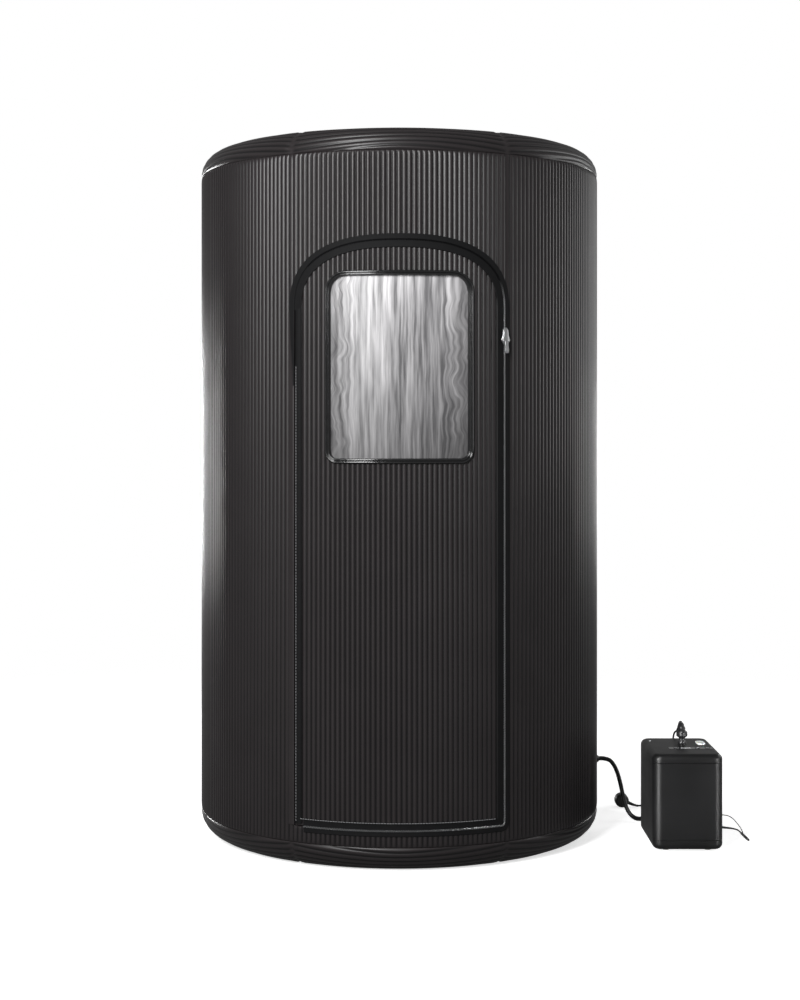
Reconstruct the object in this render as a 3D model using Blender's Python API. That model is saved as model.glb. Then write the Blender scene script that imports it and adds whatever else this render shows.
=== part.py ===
"""Inflatable steam cabin with its zipped door, valves, hose and free-standing steamer.

Metres, +Z up. The origin is the centre of the cabin's underside on the floor, and the door faces -Y.
An arc is a distance along the cabin's outer face, measured from the middle of the door.
"""

import math

import bmesh
import bpy
from mathutils import Matrix, Vector

# Clearance between neighbouring solids, and how far cutters overrun
GAP = 0.0003
OVERRUN = 0.020
PANEL_OVERRUN = 0.002

# Cabin
CABIN_HEIGHT = 1.800
CABIN_DIAMETER = 1.060
WALL_THICKNESS = 0.100
PAD_THICKNESS = 0.0615
FLUTE_COUNT = 264
FLUTE_DEPTH = 0.0025
SKIN_THICKNESS = 0.0012
LINER_THICKNESS = 0.0012
MAT_THICKNESS = 0.006
CORE_COLUMNS = FLUTE_COUNT // 6

# Roof and floor gores
GORE_COUNT = 6
GORE_CENTRE_APOTHEM = 0.050
GORE_SHOULDER_ROWS = 4
GORE_RIM_ROWS = 6
GORE_ACROSS_SHARES = (-1.0, -0.9, -0.7, -0.4, 0.0, 0.4, 0.7, 0.9, 1.0)

# Door leaf
DOOR_WIDTH = 0.530
DOOR_BOTTOM = 0.105
DOOR_HEADROOM = 0.279
DOOR_RISE = 0.164
DOOR_SPRING = CABIN_HEIGHT - DOOR_HEADROOM - DOOR_RISE
DOOR_ROUNDNESS = 2.5
DOOR_THICKNESS = 0.032
DOOR_GAP = 0.003
ARCH_STEPS = 28
ARCH_SAMPLES = 720

# Window in the door
WINDOW_WIDTH = 0.339
WINDOW_HEIGHT = 0.439
WINDOW_RISE = 0.079
WINDOW_TOP = DOOR_SPRING + WINDOW_RISE
WINDOW_BOTTOM = WINDOW_TOP - WINDOW_HEIGHT
WINDOW_TOP_RADIUS = 0.038
WINDOW_BOTTOM_RADIUS = 0.018
FILM_DEPTH = 0.003
FILM_THICKNESS = 0.001
WELT_WIDTH = 0.0135
WELT_HEIGHT = 0.006
WELT_CROWN_SHARES = (0.75, 0.15)
CORNER_STEPS = 5
WINDOW_STEPS = 10

# Zip and hinge tapes
TAPE_WIDTH = 0.014
TAPE_THICKNESS = 0.0012
TEETH_WIDTH = 0.0025
TEETH_HEIGHT = 0.0026
HINGE_TAPE_WIDTH = 0.017
ZIP_HINGE_MARGIN = 0.025
ZIP_ARCH_SHARE = 0.84
ZIP_STEPS = 20

# Zip slider and its pull
SLIDER_DROP = 0.0645
SLIDER_CENTRE = DOOR_SPRING - SLIDER_DROP
SLIDER_WIDTH = 0.024
SLIDER_HEIGHT = 0.043
SLIDER_THICKNESS = 0.005
SLIDER_OUTLINE_SHARES = (
    (-0.14, 0.0),
    (0.14, 0.0),
    (0.50, 0.30),
    (0.34, 0.55),
    (0.28, 0.86),
    (0.12, 1.0),
    (-0.12, 1.0),
    (-0.28, 0.86),
    (-0.34, 0.55),
    (-0.50, 0.30),
)
LUG_WIDTH = 0.002
LUG_HEIGHT = 0.005
PIVOT_HEIGHT_SHARE = 0.25
PULL_WIDTH = 0.008
PULL_END_WIDTH = 0.011
PULL_LENGTH = 0.026
PULL_THICKNESS = 0.0022
PULL_STANDOFF = 0.0008

# Air valve and relief valve in the back of the wall
VALVE_ARC_SHARE = 0.42
VALVE_Z = 0.300
VALVE_FLANGE_RADIUS = 0.034
VALVE_FLANGE_THICKNESS = 0.004
VALVE_BARREL_RADIUS = 0.025
VALVE_BORE_RADIUS = 0.020
VALVE_DEPTH = 0.045
VALVE_WEB_DEPTH = 0.012
VALVE_WEB_THICKNESS = 0.003
VALVE_PIN_RADIUS = 0.003
VALVE_PIN_DEPTH = 0.006
VALVE_PIN_PLAY = 0.0005
POPPET_RADIUS = 0.014
POPPET_THICKNESS = 0.003
CAP_THICKNESS = 0.008
CAP_SPIGOT_DEPTH = 0.003
CAP_GRIP_WIDTH = 0.010
CAP_GRIP_HEIGHT = 0.007
RELIEF_SPACING = 0.120
RELIEF_FLANGE_RADIUS = 0.024
RELIEF_BARREL_RADIUS = 0.016
RELIEF_BORE_RADIUS = 0.006
RELIEF_DEPTH = 0.034
RELIEF_DOME_HEIGHT = 0.008
HOLE_CLEARANCE = 0.0005
TURNED_SIDES = 16

# Steam port through the wall
PORT_ARC_SHARE = 0.2778
PORT_Z = 0.163
PORT_FLANGE_RADIUS = 0.030
PORT_FLANGE_THICKNESS = 0.004
PORT_BARREL_RADIUS = 0.015
PORT_BORE_RADIUS = 0.004
PORT_NUT_RADIUS = 0.012
PORT_NUT_LENGTH = 0.022
PORT_INNER_LENGTH = 0.014
DIFFUSER_RADIUS = 0.019
DIFFUSER_LENGTH = 0.020
DIFFUSER_SLOT_WIDTH = 0.006
DIFFUSER_SLOT_COUNT = 3
DIFFUSER_SLOT_SHARE = 0.6
DIFFUSER_TIP_SHARE = 0.75

# Steamer housing
STEAMER_X = 0.730
STEAMER_Y = -0.180
STEAMER_WIDTH = 0.178
STEAMER_DEPTH = 0.254
STEAMER_HEIGHT = 0.2465
STEAMER_CORNER_RADIUS = 0.024
STEAMER_EDGE_ROUNDING = 0.014
STEAMER_WALL = 0.0025
STEAMER_BASE_HEIGHT = 0.024
STEAMER_TOP_HEIGHT = 0.022
STEAMER_CORNER_STEPS = 4
EDGE_STEPS = 3
FOOT_RADIUS = 0.010
FOOT_HEIGHT = 0.005
FOOT_INSET = 0.036

# Steamer controls, placed from the middle of the top cover
PANEL_X = 0.020
PANEL_Y = -0.036
PANEL_WIDTH = 0.112
PANEL_DEPTH = 0.030
PANEL_THICKNESS = 0.003
PANEL_RADIUS = 0.006
PANEL_PROUD = 0.0006
BUTTON_RADIUS = 0.006
BUTTON_HEIGHT = 0.0052
BUTTON_PROUD = 0.0014
BUTTON_TRAVEL = 0.001
BUTTON_CLEARANCE = 0.0004
BUTTON_NAMES = ("power_button", "time_button", "heat_button")
BUTTON_PLACE_SHARES = (-0.34, 0.16, 0.39)
SWITCH_POCKET_DEPTH = 0.007
FILLER_X = 0.057
FILLER_Y = 0.036
FILLER_WIDTH = 0.022
FILLER_LENGTH = 0.048
FILLER_LIP = 0.003
FILLER_PROUD = 0.003
FILLER_NECK_DEPTH = 0.010

# Inside the steamer
TANK_RADIUS = 0.062
TANK_HEIGHT = 0.120
TANK_WALL = 0.0015
TANK_Y = 0.015
ELEMENT_RING_RADIUS = 0.040
ELEMENT_ROD_RADIUS = 0.004
ELEMENT_ROD_SIDES = 8
BOARD_WIDTH = 0.090
BOARD_HEIGHT = 0.060
BOARD_THICKNESS = 0.0016
BOARD_Z = 0.140

# Steam outlet low on the steamer's back
OUTLET_X = -0.058
OUTLET_Z = 0.036
OUTLET_FLANGE_RADIUS = 0.013
OUTLET_FLANGE_THICKNESS = 0.003
OUTLET_RADIUS = 0.0085
OUTLET_LENGTH = 0.022
OUTLET_BORE_RADIUS = 0.004

# Steam hose from the port to the outlet
HOSE_RADIUS = 0.006
HOSE_SPACING = 0.018
HOSE_STRAIGHT = 0.012
HOSE_ROUTE = (
    (0.5790, 0.1010, 0.1575),
    (0.5900, 0.0980, 0.1455),
    (0.5975, 0.0930, 0.1300),
    (0.6030, 0.0875, 0.1120),
    (0.6075, 0.0820, 0.0920),
    (0.6115, 0.0760, 0.0710),
    (0.6160, 0.0700, 0.0500),
    (0.6225, 0.0635, 0.0310),
    (0.6320, 0.0560, 0.0165),
    (0.6440, 0.0460, 0.0095),
    (0.6560, 0.0330, 0.0110),
    (0.6650, 0.0180, 0.0185),
)

# Mains lead: connector on the top cover, cord, coil and plug
CORD_RADIUS = 0.0025
CORD_SPACING = 0.014
CORD_EXIT_RUN = 0.008
CORD_ROUTE = (
    (0.7380, -0.0870, 0.2800),
    (0.7375, -0.0660, 0.2660),
    (0.7360, -0.0500, 0.2610),
    (0.7345, -0.0360, 0.2510),
    (0.7330, -0.0290, 0.2330),
    (0.7310, -0.0280, 0.2050),
    (0.7285, -0.0290, 0.1700),
    (0.7260, -0.0300, 0.1350),
    (0.7240, -0.0300, 0.1000),
    (0.7228, -0.0290, 0.0680),
    (0.7222, -0.0250, 0.0400),
    (0.7222, -0.0150, 0.0170),
    (0.7226, 0.0020, 0.0060),
    (0.7236, 0.0230, 0.0028),
    (0.7250, 0.0480, 0.0028),
    (0.7266, 0.0740, 0.0028),
)
CORD_ENTRY_RUN = 0.016
TAIL_EXIT_RUN = 0.010
TAIL_ROUTE = (
    (0.7440, 0.0750, 0.0090),
    (0.7320, 0.0760, 0.0090),
    (0.7195, 0.0805, 0.0090),
    (0.7090, 0.0895, 0.0084),
    (0.7010, 0.1020, 0.0066),
    (0.6960, 0.1180, 0.0044),
    (0.6935, 0.1360, 0.0030),
    (0.6935, 0.1550, 0.0028),
    (0.6965, 0.1740, 0.0028),
    (0.7025, 0.1910, 0.0028),
    (0.7085, 0.2040, 0.0028),
    (0.7110, 0.2165, 0.0028),
    (0.7081, 0.2275, 0.0028),
    (0.7000, 0.2356, 0.0028),
)
TAIL_ENTRY_RUN = 0.012
CONNECTOR_X = 0.008
CONNECTOR_Y = 0.030
CONNECTOR_STRAIGHT_SHARE = 0.4
CONNECTOR_SIDES = 12
CONNECTOR_PROFILE = (
    (0.000, 0.0100),
    (0.008, 0.0100),
    (0.011, 0.0075),
    (0.016, 0.0080),
    (0.020, 0.0145),
    (0.030, 0.0140),
    (0.036, 0.0095),
    (0.040, 0.0100),
    (0.045, 0.0075),
    (0.050, 0.0078),
    (0.056, 0.0055),
    (0.066, 0.0040),
)
COIL_X = 0.765
COIL_Y = 0.112
COIL_OUTER_RADIUS = 0.037
COIL_TURN_SPACING = 0.0062
COIL_TURNS_PER_LAYER = 2.625
COIL_POINTS_PER_TURN = 16
COIL_START_SHARE = 0.5
PLUG_X = 0.629
PLUG_Y = 0.2385
PLUG_RADIUS = 0.0195
PLUG_LENGTH = 0.034
PLUG_NOSE_RADIUS = 0.017
PLUG_NOSE_LENGTH = 0.006
PLUG_BACK_SHARE = 0.85
PLUG_BEVEL_SHARE = 0.7
PLUG_FRONT_SHARE = 0.6
PIN_RADIUS = 0.002
PIN_LENGTH = 0.019
PIN_SPACING = 0.019
PIN_SIDES = 12
RELIEF_ROUTE = (
    (0.0, 0.0, 0.0),
    (0.0180, 0.0, -0.0073),
    (0.0290, 0.0, -0.0120),
    (0.0370, 0.0, -0.0148),
    (0.0430, 0.0, -0.0164),
    (0.0480, 0.0, -0.0165),
)
RELIEF_RADII = (0.0055, 0.0055, 0.0046, 0.0038, 0.0032, 0.0029)

# Drain tube and its tethered stopper on the steamer's right side
DRAIN_Y = -0.020
DRAIN_Z = 0.040
DRAIN_ROOT_RADIUS = 0.0038
DRAIN_RADIUS = 0.0020
DRAIN_ROOT_LENGTH = 0.046
DRAIN_ROUTE = (
    (0.0, 0.0, 0.0),
    (0.0100, 0.0, 0.0),
    (0.0195, 0.0, -0.0010),
    (0.0330, 0.0, -0.0025),
    (0.0450, 0.0, -0.0045),
    (0.0540, 0.0, -0.0072),
    (0.0590, 0.0, -0.0105),
    (0.0630, 0.0, -0.0142),
)
STOPPER_LENGTH = 0.030
STOPPER_RADIUS = 0.0036
STOPPER_TIP_RADIUS = 0.0026
STOPPER_PLACE_SHARES = (0.0, 0.2, 0.75, 1.0)
STOPPER_SIDES = 12
STRAP_RADIUS = 0.0012
STRAP_SIDES = 8
STRAP_JOIN_SHARE = 1 / 3
STRAP_RISE = 0.031
STRAP_ROUTE = (
    (0.0, 0.0, 0.0),
    (0.0100, 0.0, 0.0006),
    (0.0206, 0.0, 0.0),
    (0.0306, 0.0, -0.0020),
    (0.0423, 0.0, -0.0090),
    (0.0536, 0.0, -0.0212),
    (0.0640, 0.0, -0.0360),
)

SMOOTH_ANGLE = math.radians(35)

# Finishes: linear colour, roughness, metallic
BLACK_PVC = ((0.030, 0.030, 0.032), 0.42, 0.0)
BLACK_TAPE = ((0.012, 0.012, 0.013), 0.55, 0.0)
GLOSSY_BLACK = ((0.008, 0.008, 0.009), 0.15, 0.0)
SILVER_LINER = ((0.55, 0.55, 0.56), 0.32, 0.6)
AIR_CORE = ((0.10, 0.10, 0.11), 0.85, 0.0)
CLEAR_FILM = ((0.75, 0.78, 0.80), 0.08, 0.0)
GREY_MAT = ((0.06, 0.06, 0.065), 0.9, 0.0)
BRIGHT_ZINC = ((0.62, 0.62, 0.63), 0.25, 1.0)
BLACK_NYLON = ((0.018, 0.018, 0.019), 0.5, 0.0)
BLACK_SHELL = ((0.020, 0.020, 0.022), 0.35, 0.0)
WHITE_SILICONE = ((0.80, 0.80, 0.79), 0.5, 0.0)
BLACK_RUBBER = ((0.012, 0.012, 0.012), 0.7, 0.0)
STAINLESS = ((0.50, 0.50, 0.51), 0.3, 1.0)
GREEN_BOARD = ((0.02, 0.10, 0.04), 0.5, 0.0)

CABIN_RADIUS = CABIN_DIAMETER / 2
CIRCUMFERENCE = 2 * math.pi * CABIN_RADIUS
FLUTE_PITCH = CIRCUMFERENCE / FLUTE_COUNT
DOOR_HALF = DOOR_WIDTH / 2
WINDOW_HALF = WINDOW_WIDTH / 2
WALL_BOTTOM = PAD_THICKNESS + GAP
WALL_TOP = CABIN_HEIGHT - PAD_THICKNESS - GAP
SKIN_INNER_RADIUS = CABIN_RADIUS - FLUTE_DEPTH - SKIN_THICKNESS
CORE_OUTER_RADIUS = SKIN_INNER_RADIUS - GAP
ROOM_RADIUS = CABIN_RADIUS - WALL_THICKNESS
DOORWAY_OFFSET = DOOR_GAP + LINER_THICKNESS + GAP


def clear_scene():
    for obj in list(bpy.data.objects):
        bpy.data.objects.remove(obj, do_unlink=True)


def finish_material(name, finish):
    colour, roughness, metallic = finish
    material = bpy.data.materials.new(name)
    material.use_nodes = True
    shader = material.node_tree.nodes["Principled BSDF"]
    shader.inputs["Base Color"].default_value = (*colour, 1.0)
    shader.inputs["Roughness"].default_value = roughness
    shader.inputs["Metallic"].default_value = metallic
    material.diffuse_color = (*colour, 1.0)
    return material


def add_empty(name, location, rotation=(0.0, 0.0, 0.0), parent=None):
    empty = bpy.data.objects.new(name, None)
    bpy.context.scene.collection.objects.link(empty)
    empty.location = location
    empty.rotation_euler = rotation
    empty.parent = parent
    bpy.context.view_layer.update()
    return empty


def add_object(name, mesh, finish=None, place=None, parent=None):
    """Links a bmesh as an object. With a parent, place is in the world, and the parent is followed."""
    bmesh.ops.recalc_face_normals(mesh, faces=mesh.faces)
    data = bpy.data.meshes.new(name)
    mesh.to_mesh(data)
    mesh.free()
    data.shade_smooth()
    data.set_sharp_from_angle(angle=SMOOTH_ANGLE)
    obj = bpy.data.objects.new(name, data)
    bpy.context.scene.collection.objects.link(obj)
    if place is not None:
        obj.location = place.to_translation()
        obj.rotation_euler = place.to_euler()
    if parent is not None:
        obj.parent = parent
        obj.matrix_parent_inverse = parent.matrix_world.inverted()
    if finish is None:
        obj.hide_render = True
        obj.display_type = "WIRE"
    else:
        data.materials.append(finish_material(name, finish))
    return obj


def change_solid(obj, helper, operation):
    modifier = obj.modifiers.new(helper.name, "BOOLEAN")
    modifier.operation = operation
    modifier.solver = "EXACT"
    modifier.object = helper


def cut(obj, *cutters):
    for cutter in cutters:
        change_solid(obj, cutter, "DIFFERENCE")


def join(obj, *helpers):
    for helper in helpers:
        change_solid(obj, helper, "UNION")


def on_cabin(arc, z, radius):
    """The point at an arc, a height and a distance from the cabin's axis."""
    angle = arc / CABIN_RADIUS
    return Vector((radius * math.sin(angle), -radius * math.cos(angle), z))


def wall_frame(arc, z, radius):
    """X runs to the right along the wall seen from outside, Y points inwards, Z up."""
    turn = Matrix.Rotation(arc / CABIN_RADIUS, 4, "Z")
    return Matrix.Translation(on_cabin(arc, z, radius)) @ turn


def outward_frame(arc, z, radius):
    """Z points straight out of the wall."""
    return wall_frame(arc, z, radius) @ Matrix.Rotation(math.pi / 2, 4, "X")


def flute_radius(arc):
    """The outer face's radius: a crest on each whole pitch, a valley halfway."""
    phase = (arc / FLUTE_PITCH + 0.5) % 1.0 - 0.5
    return CABIN_RADIUS - FLUTE_DEPTH * abs(phase) * 2


def wall_panel(arcs, outer, inner, bottom, top, closed=False, inner_step=1):
    """A stretch of cylindrical wall in columns. The four shape arguments are functions of the arc."""
    mesh = bmesh.new()
    count = len(arcs)
    outer_low = [mesh.verts.new(on_cabin(a, bottom(a), outer(a))) for a in arcs]
    outer_high = [mesh.verts.new(on_cabin(a, top(a), outer(a))) for a in arcs]
    inner_low = {}
    inner_high = {}
    for i in range(0, count, inner_step):
        inner_low[i] = mesh.verts.new(on_cabin(arcs[i], bottom(arcs[i]), inner(arcs[i])))
        inner_high[i] = mesh.verts.new(on_cabin(arcs[i], top(arcs[i]), inner(arcs[i])))
    spans = count if closed else count - 1
    for i in range(spans):
        j = (i + 1) % count
        mesh.faces.new((outer_low[i], outer_low[j], outer_high[j], outer_high[i]))
    for i in range(0, spans, inner_step):
        steps = [(i + k) % count for k in range(inner_step + 1)]
        j = steps[-1]
        mesh.faces.new((inner_low[j], inner_low[i], inner_high[i], inner_high[j]))
        mesh.faces.new([outer_low[k] for k in reversed(steps)] + [inner_low[i], inner_low[j]])
        mesh.faces.new([outer_high[k] for k in steps] + [inner_high[j]])
        mesh.faces.new((outer_high[i], inner_high[j], inner_high[i]))
    if not closed:
        last = count - 1
        mesh.faces.new((outer_low[0], outer_high[0], inner_high[0], inner_low[0]))
        mesh.faces.new((outer_low[last], inner_low[last], inner_high[last], outer_high[last]))
    return mesh


def band_on_wall(outline, section, closed):
    """Lofts a section of (offset, height) corners along outline(offset), a list of (arc, z) points."""
    mesh = bmesh.new()
    rails = []
    for offset, height in section:
        radius = CABIN_RADIUS + height
        rails.append([mesh.verts.new(on_cabin(a, z, radius)) for a, z in outline(offset)])
    count = len(rails[0])
    spans = count if closed else count - 1
    for first, second in zip(rails, rails[1:] + rails[:1]):
        for i in range(spans):
            j = (i + 1) % count
            mesh.faces.new((first[i], first[j], second[j]))
            mesh.faces.new((first[i], second[j], second[i]))
    if not closed:
        mesh.faces.new([rail[0] for rail in rails])
        mesh.faces.new([rail[-1] for rail in reversed(rails)])
    return mesh


def turned(profile, sides=TURNED_SIDES):
    """Turns a closed profile of (radius, z) corners about Z. A corner at radius zero is a pole."""
    mesh = bmesh.new()
    rings = []
    for radius, z in profile:
        if radius == 0:
            rings.append([mesh.verts.new((0.0, 0.0, z))])
            continue
        angles = [2 * math.pi * i / sides for i in range(sides)]
        rings.append([mesh.verts.new((radius * math.cos(a), radius * math.sin(a), z)) for a in angles])
    for first, second in zip(rings, rings[1:] + rings[:1]):
        if len(first) == 1 and len(second) == 1:
            continue
        for i in range(sides):
            j = (i + 1) % sides
            if len(first) == 1:
                mesh.faces.new((first[0], second[j], second[i]))
            elif len(second) == 1:
                mesh.faces.new((first[i], first[j], second[0]))
            else:
                mesh.faces.new((first[i], first[j], second[j], second[i]))
    return mesh


def stack(outlines):
    """Lofts closed outlines of equal count, each a list of points, and caps both ends."""
    mesh = bmesh.new()
    rings = [[mesh.verts.new(point) for point in outline] for outline in outlines]
    count = len(rings[0])
    for first, second in zip(rings, rings[1:]):
        for i in range(count):
            j = (i + 1) % count
            mesh.faces.new((first[i], first[j], second[j], second[i]))
    mesh.faces.new(list(reversed(rings[0])))
    mesh.faces.new(rings[-1])
    return mesh


def rounded_rectangle(width, depth, radius, z, steps, centre=(0.0, 0.0)):
    """Points round a rectangle with round corners, at one height."""
    points = []
    corners = ((1, 1), (-1, 1), (-1, -1), (1, -1))
    for quarter, (side_x, side_y) in enumerate(corners):
        middle_x = centre[0] + side_x * (width / 2 - radius)
        middle_y = centre[1] + side_y * (depth / 2 - radius)
        for i in range(steps + 1):
            angle = (quarter + i / steps) * math.pi / 2
            points.append((middle_x + radius * math.cos(angle), middle_y + radius * math.sin(angle), z))
    return points


def plate(width, depth, radius, low, high, steps=STEAMER_CORNER_STEPS, centre=(0.0, 0.0)):
    outlines = [rounded_rectangle(width, depth, radius, z, steps, centre) for z in (low, high)]
    return stack(outlines)


def block(size, centre):
    """A plain box, with its size and centre as three lengths each."""
    mesh = bmesh.new()
    bmesh.ops.create_cube(mesh, size=1.0)
    bmesh.ops.scale(mesh, vec=size, verts=mesh.verts)
    bmesh.ops.translate(mesh, vec=centre, verts=mesh.verts)
    return mesh


def smooth_route(points, spacing):
    """Points about one spacing apart on a Catmull-Rom curve through the route's own points."""
    route = [Vector(p) for p in points]
    padded = [2 * route[0] - route[1]] + route + [2 * route[-1] - route[-2]]
    result = []
    for i in range(1, len(padded) - 2):
        before, start, end, after = padded[i - 1 : i + 3]
        steps = max(1, round((end - start).length / spacing))
        for k in range(steps):
            t = k / steps
            result.append(
                0.5
                * (
                    2 * start
                    + (end - before) * t
                    + (2 * before - 5 * start + 4 * end - after) * t**2
                    + (3 * start - before - 3 * end + after) * t**3
                )
            )
    result.append(route[-1])
    return result


def add_tube(name, points, radius, finish, resolution=2, shares=None):
    """A round cord along the points; shares scales its radius at each of them."""
    curve = bpy.data.curves.new(name, "CURVE")
    curve.dimensions = "3D"
    curve.bevel_depth = radius
    curve.bevel_resolution = resolution
    curve.use_fill_caps = True
    spline = curve.splines.new("POLY")
    spline.points.add(len(points) - 1)
    for i, point in enumerate(points):
        spline.points[i].co = (*point, 1.0)
        spline.points[i].radius = shares[i] if shares else 1.0
    obj = bpy.data.objects.new(name, curve)
    bpy.context.scene.collection.objects.link(obj)
    curve.materials.append(finish_material(name, finish))
    return obj


def swept_tube(points, radii, sides):
    """A closed tube through the points, with a radius at each and flat ends."""
    mesh = bmesh.new()
    rings = []
    side = Vector((1.0, 0.0, 0.0))
    for i, point in enumerate(points):
        ahead = (points[min(i + 1, len(points) - 1)] - points[max(i - 1, 0)]).normalized()
        side = (side - ahead * side.dot(ahead)).normalized()
        up = ahead.cross(side)
        ring = []
        for k in range(sides):
            angle = 2 * math.pi * k / sides
            offset = side * math.cos(angle) + up * math.sin(angle)
            ring.append(mesh.verts.new(point + offset * radii[i]))
        rings.append(ring)
    for first, second in zip(rings, rings[1:]):
        for i in range(sides):
            j = (i + 1) % sides
            mesh.faces.new((first[i], first[j], second[j], second[i]))
    mesh.faces.new(list(reversed(rings[0])))
    mesh.faces.new(rings[-1])
    return mesh


def arch_point(half, rise, angle):
    """A point of a flattened arch, as an arc and a height above its springing."""
    across = abs(math.cos(angle)) ** (2 / DOOR_ROUNDNESS)
    height = abs(math.sin(angle)) ** (2 / DOOR_ROUNDNESS)
    return math.copysign(half * across, math.cos(angle)), rise * height


def arch_angles():
    """The angles that space the arch's points evenly along it, from right to left."""
    fine = [math.pi * i / ARCH_SAMPLES for i in range(ARCH_SAMPLES + 1)]
    places = [Vector(arch_point(DOOR_HALF, DOOR_RISE, angle)) for angle in fine]
    runs = [0.0]
    for first, second in zip(places, places[1:]):
        runs.append(runs[-1] + (second - first).length)
    angles = []
    for i in range(ARCH_STEPS + 1):
        wanted = runs[-1] * i / ARCH_STEPS
        nearest = min(range(len(runs)), key=lambda k: abs(runs[k] - wanted))
        angles.append(fine[nearest])
    return angles


def arch_points(offset, last_share=1.0):
    """Points of the door's arch from its right spring to its left, moved out by an offset."""
    half = DOOR_HALF + offset
    rise = DOOR_RISE + offset
    points = []
    for angle in arch_angles()[: round(ARCH_STEPS * last_share) + 1]:
        arc, height = arch_point(half, rise, angle)
        points.append((arc, DOOR_SPRING + height))
    return points


def arch_top(arc):
    """The leaf's upper edge over an arc."""
    share = min(abs(arc) / DOOR_HALF, 1.0)
    return DOOR_SPRING + DOOR_RISE * (1 - share**DOOR_ROUNDNESS) ** (1 / DOOR_ROUNDNESS)


def doorway_outline(offset):
    """The whole doorway, anticlockwise seen from outside, from its lower left corner."""
    half = DOOR_HALF + offset
    bottom = DOOR_BOTTOM - offset
    points = [(-half + 2 * half * i / ZIP_STEPS, bottom) for i in range(ZIP_STEPS + 1)]
    return points + arch_points(offset)


def zip_outline(offset):
    """The zip's run: along the bottom, up the right side and over the arch."""
    half = DOOR_HALF + offset
    start = -DOOR_HALF + ZIP_HINGE_MARGIN
    bottom = DOOR_BOTTOM - offset
    points = [(start + (half - start) * i / ZIP_STEPS, bottom) for i in range(ZIP_STEPS + 1)]
    return points + arch_points(offset, ZIP_ARCH_SHARE)


def window_top(arc):
    over = max(abs(arc) - (WINDOW_HALF - WINDOW_TOP_RADIUS), 0.0)
    drop = WINDOW_TOP_RADIUS - math.sqrt(max(WINDOW_TOP_RADIUS**2 - over**2, 0.0))
    return WINDOW_TOP - drop


def window_bottom(arc):
    over = max(abs(arc) - (WINDOW_HALF - WINDOW_BOTTOM_RADIUS), 0.0)
    rise = WINDOW_BOTTOM_RADIUS - math.sqrt(max(WINDOW_BOTTOM_RADIUS**2 - over**2, 0.0))
    return WINDOW_BOTTOM + rise


def window_arcs():
    """Columns across the window, closer together in its round corners."""
    flat = WINDOW_HALF - WINDOW_TOP_RADIUS
    corner = [
        flat + WINDOW_TOP_RADIUS * math.sin(math.pi / 2 * i / CORNER_STEPS) for i in range(1, CORNER_STEPS + 1)
    ]
    middle = [-flat + 2 * flat * i / WINDOW_STEPS for i in range(WINDOW_STEPS + 1)]
    return [-a for a in reversed(corner)] + middle + corner


def window_outline(offset):
    """The window's edge moved out by an offset, anticlockwise seen from outside."""
    corners = (
        (1, 1, WINDOW_TOP_RADIUS),
        (-1, 1, WINDOW_TOP_RADIUS),
        (-1, -1, WINDOW_BOTTOM_RADIUS),
        (1, -1, WINDOW_BOTTOM_RADIUS),
    )
    points = []
    for quarter, (side_arc, side_z, radius) in enumerate(corners):
        middle_arc = side_arc * (WINDOW_HALF - radius)
        middle_z = WINDOW_TOP - radius if side_z > 0 else WINDOW_BOTTOM + radius
        for i in range(CORNER_STEPS + 1):
            angle = (quarter + i / CORNER_STEPS) * math.pi / 2
            arc = middle_arc + (radius + offset) * math.cos(angle)
            points.append((arc, middle_z + (radius + offset) * math.sin(angle)))
        if quarter in (0, 2):
            following = corners[quarter + 1]
            end = following[0] * (WINDOW_HALF - following[2])
            for i in range(1, WINDOW_STEPS):
                points.append((middle_arc + (end - middle_arc) * i / WINDOW_STEPS, points[-1][1]))
    return points


def level(value):
    """A height or radius that is the same at every arc."""
    return lambda arc: value


def column_arcs(count):
    return [CIRCUMFERENCE * i / count for i in range(count)]


def make_wall(cutters_skin, cutters_core, cutters_liner):
    """Outer skin, drop-stitch core and silver liner, each one ring with its holes."""
    flutes = column_arcs(2 * FLUTE_COUNT)
    step = 2 * FLUTE_COUNT // CORE_COLUMNS
    skin = wall_panel(
        flutes,
        flute_radius,
        level(SKIN_INNER_RADIUS),
        level(WALL_BOTTOM),
        level(WALL_TOP),
        closed=True,
        inner_step=step,
    )
    cut(add_object("wall_skin", skin, BLACK_PVC), *cutters_skin)
    columns = column_arcs(CORE_COLUMNS)
    core_inner = ROOM_RADIUS + LINER_THICKNESS + GAP
    core = wall_panel(
        columns, level(CORE_OUTER_RADIUS), level(core_inner), level(WALL_BOTTOM), level(WALL_TOP), closed=True
    )
    cut(add_object("wall_core", core, AIR_CORE), *cutters_core)
    liner = wall_panel(
        columns,
        level(ROOM_RADIUS + LINER_THICKNESS),
        level(ROOM_RADIUS),
        level(WALL_BOTTOM),
        level(WALL_TOP),
        closed=True,
    )
    cut(add_object("wall_liner", liner, SILVER_LINER), *cutters_liner)


def gore_point(chord, across, is_floor):
    """A point of a pad's outer face: flat in the middle, rounded over at the rim."""
    radius = math.hypot(chord, across)
    over = radius - (CABIN_RADIUS - PAD_THICKNESS)
    lean = min(max(over / PAD_THICKNESS, 0.0), 1.0)
    drop = PAD_THICKNESS * (1 - math.sqrt(1 - lean**2))
    return Vector((across, -chord, drop if is_floor else CABIN_HEIGHT - drop))


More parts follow.
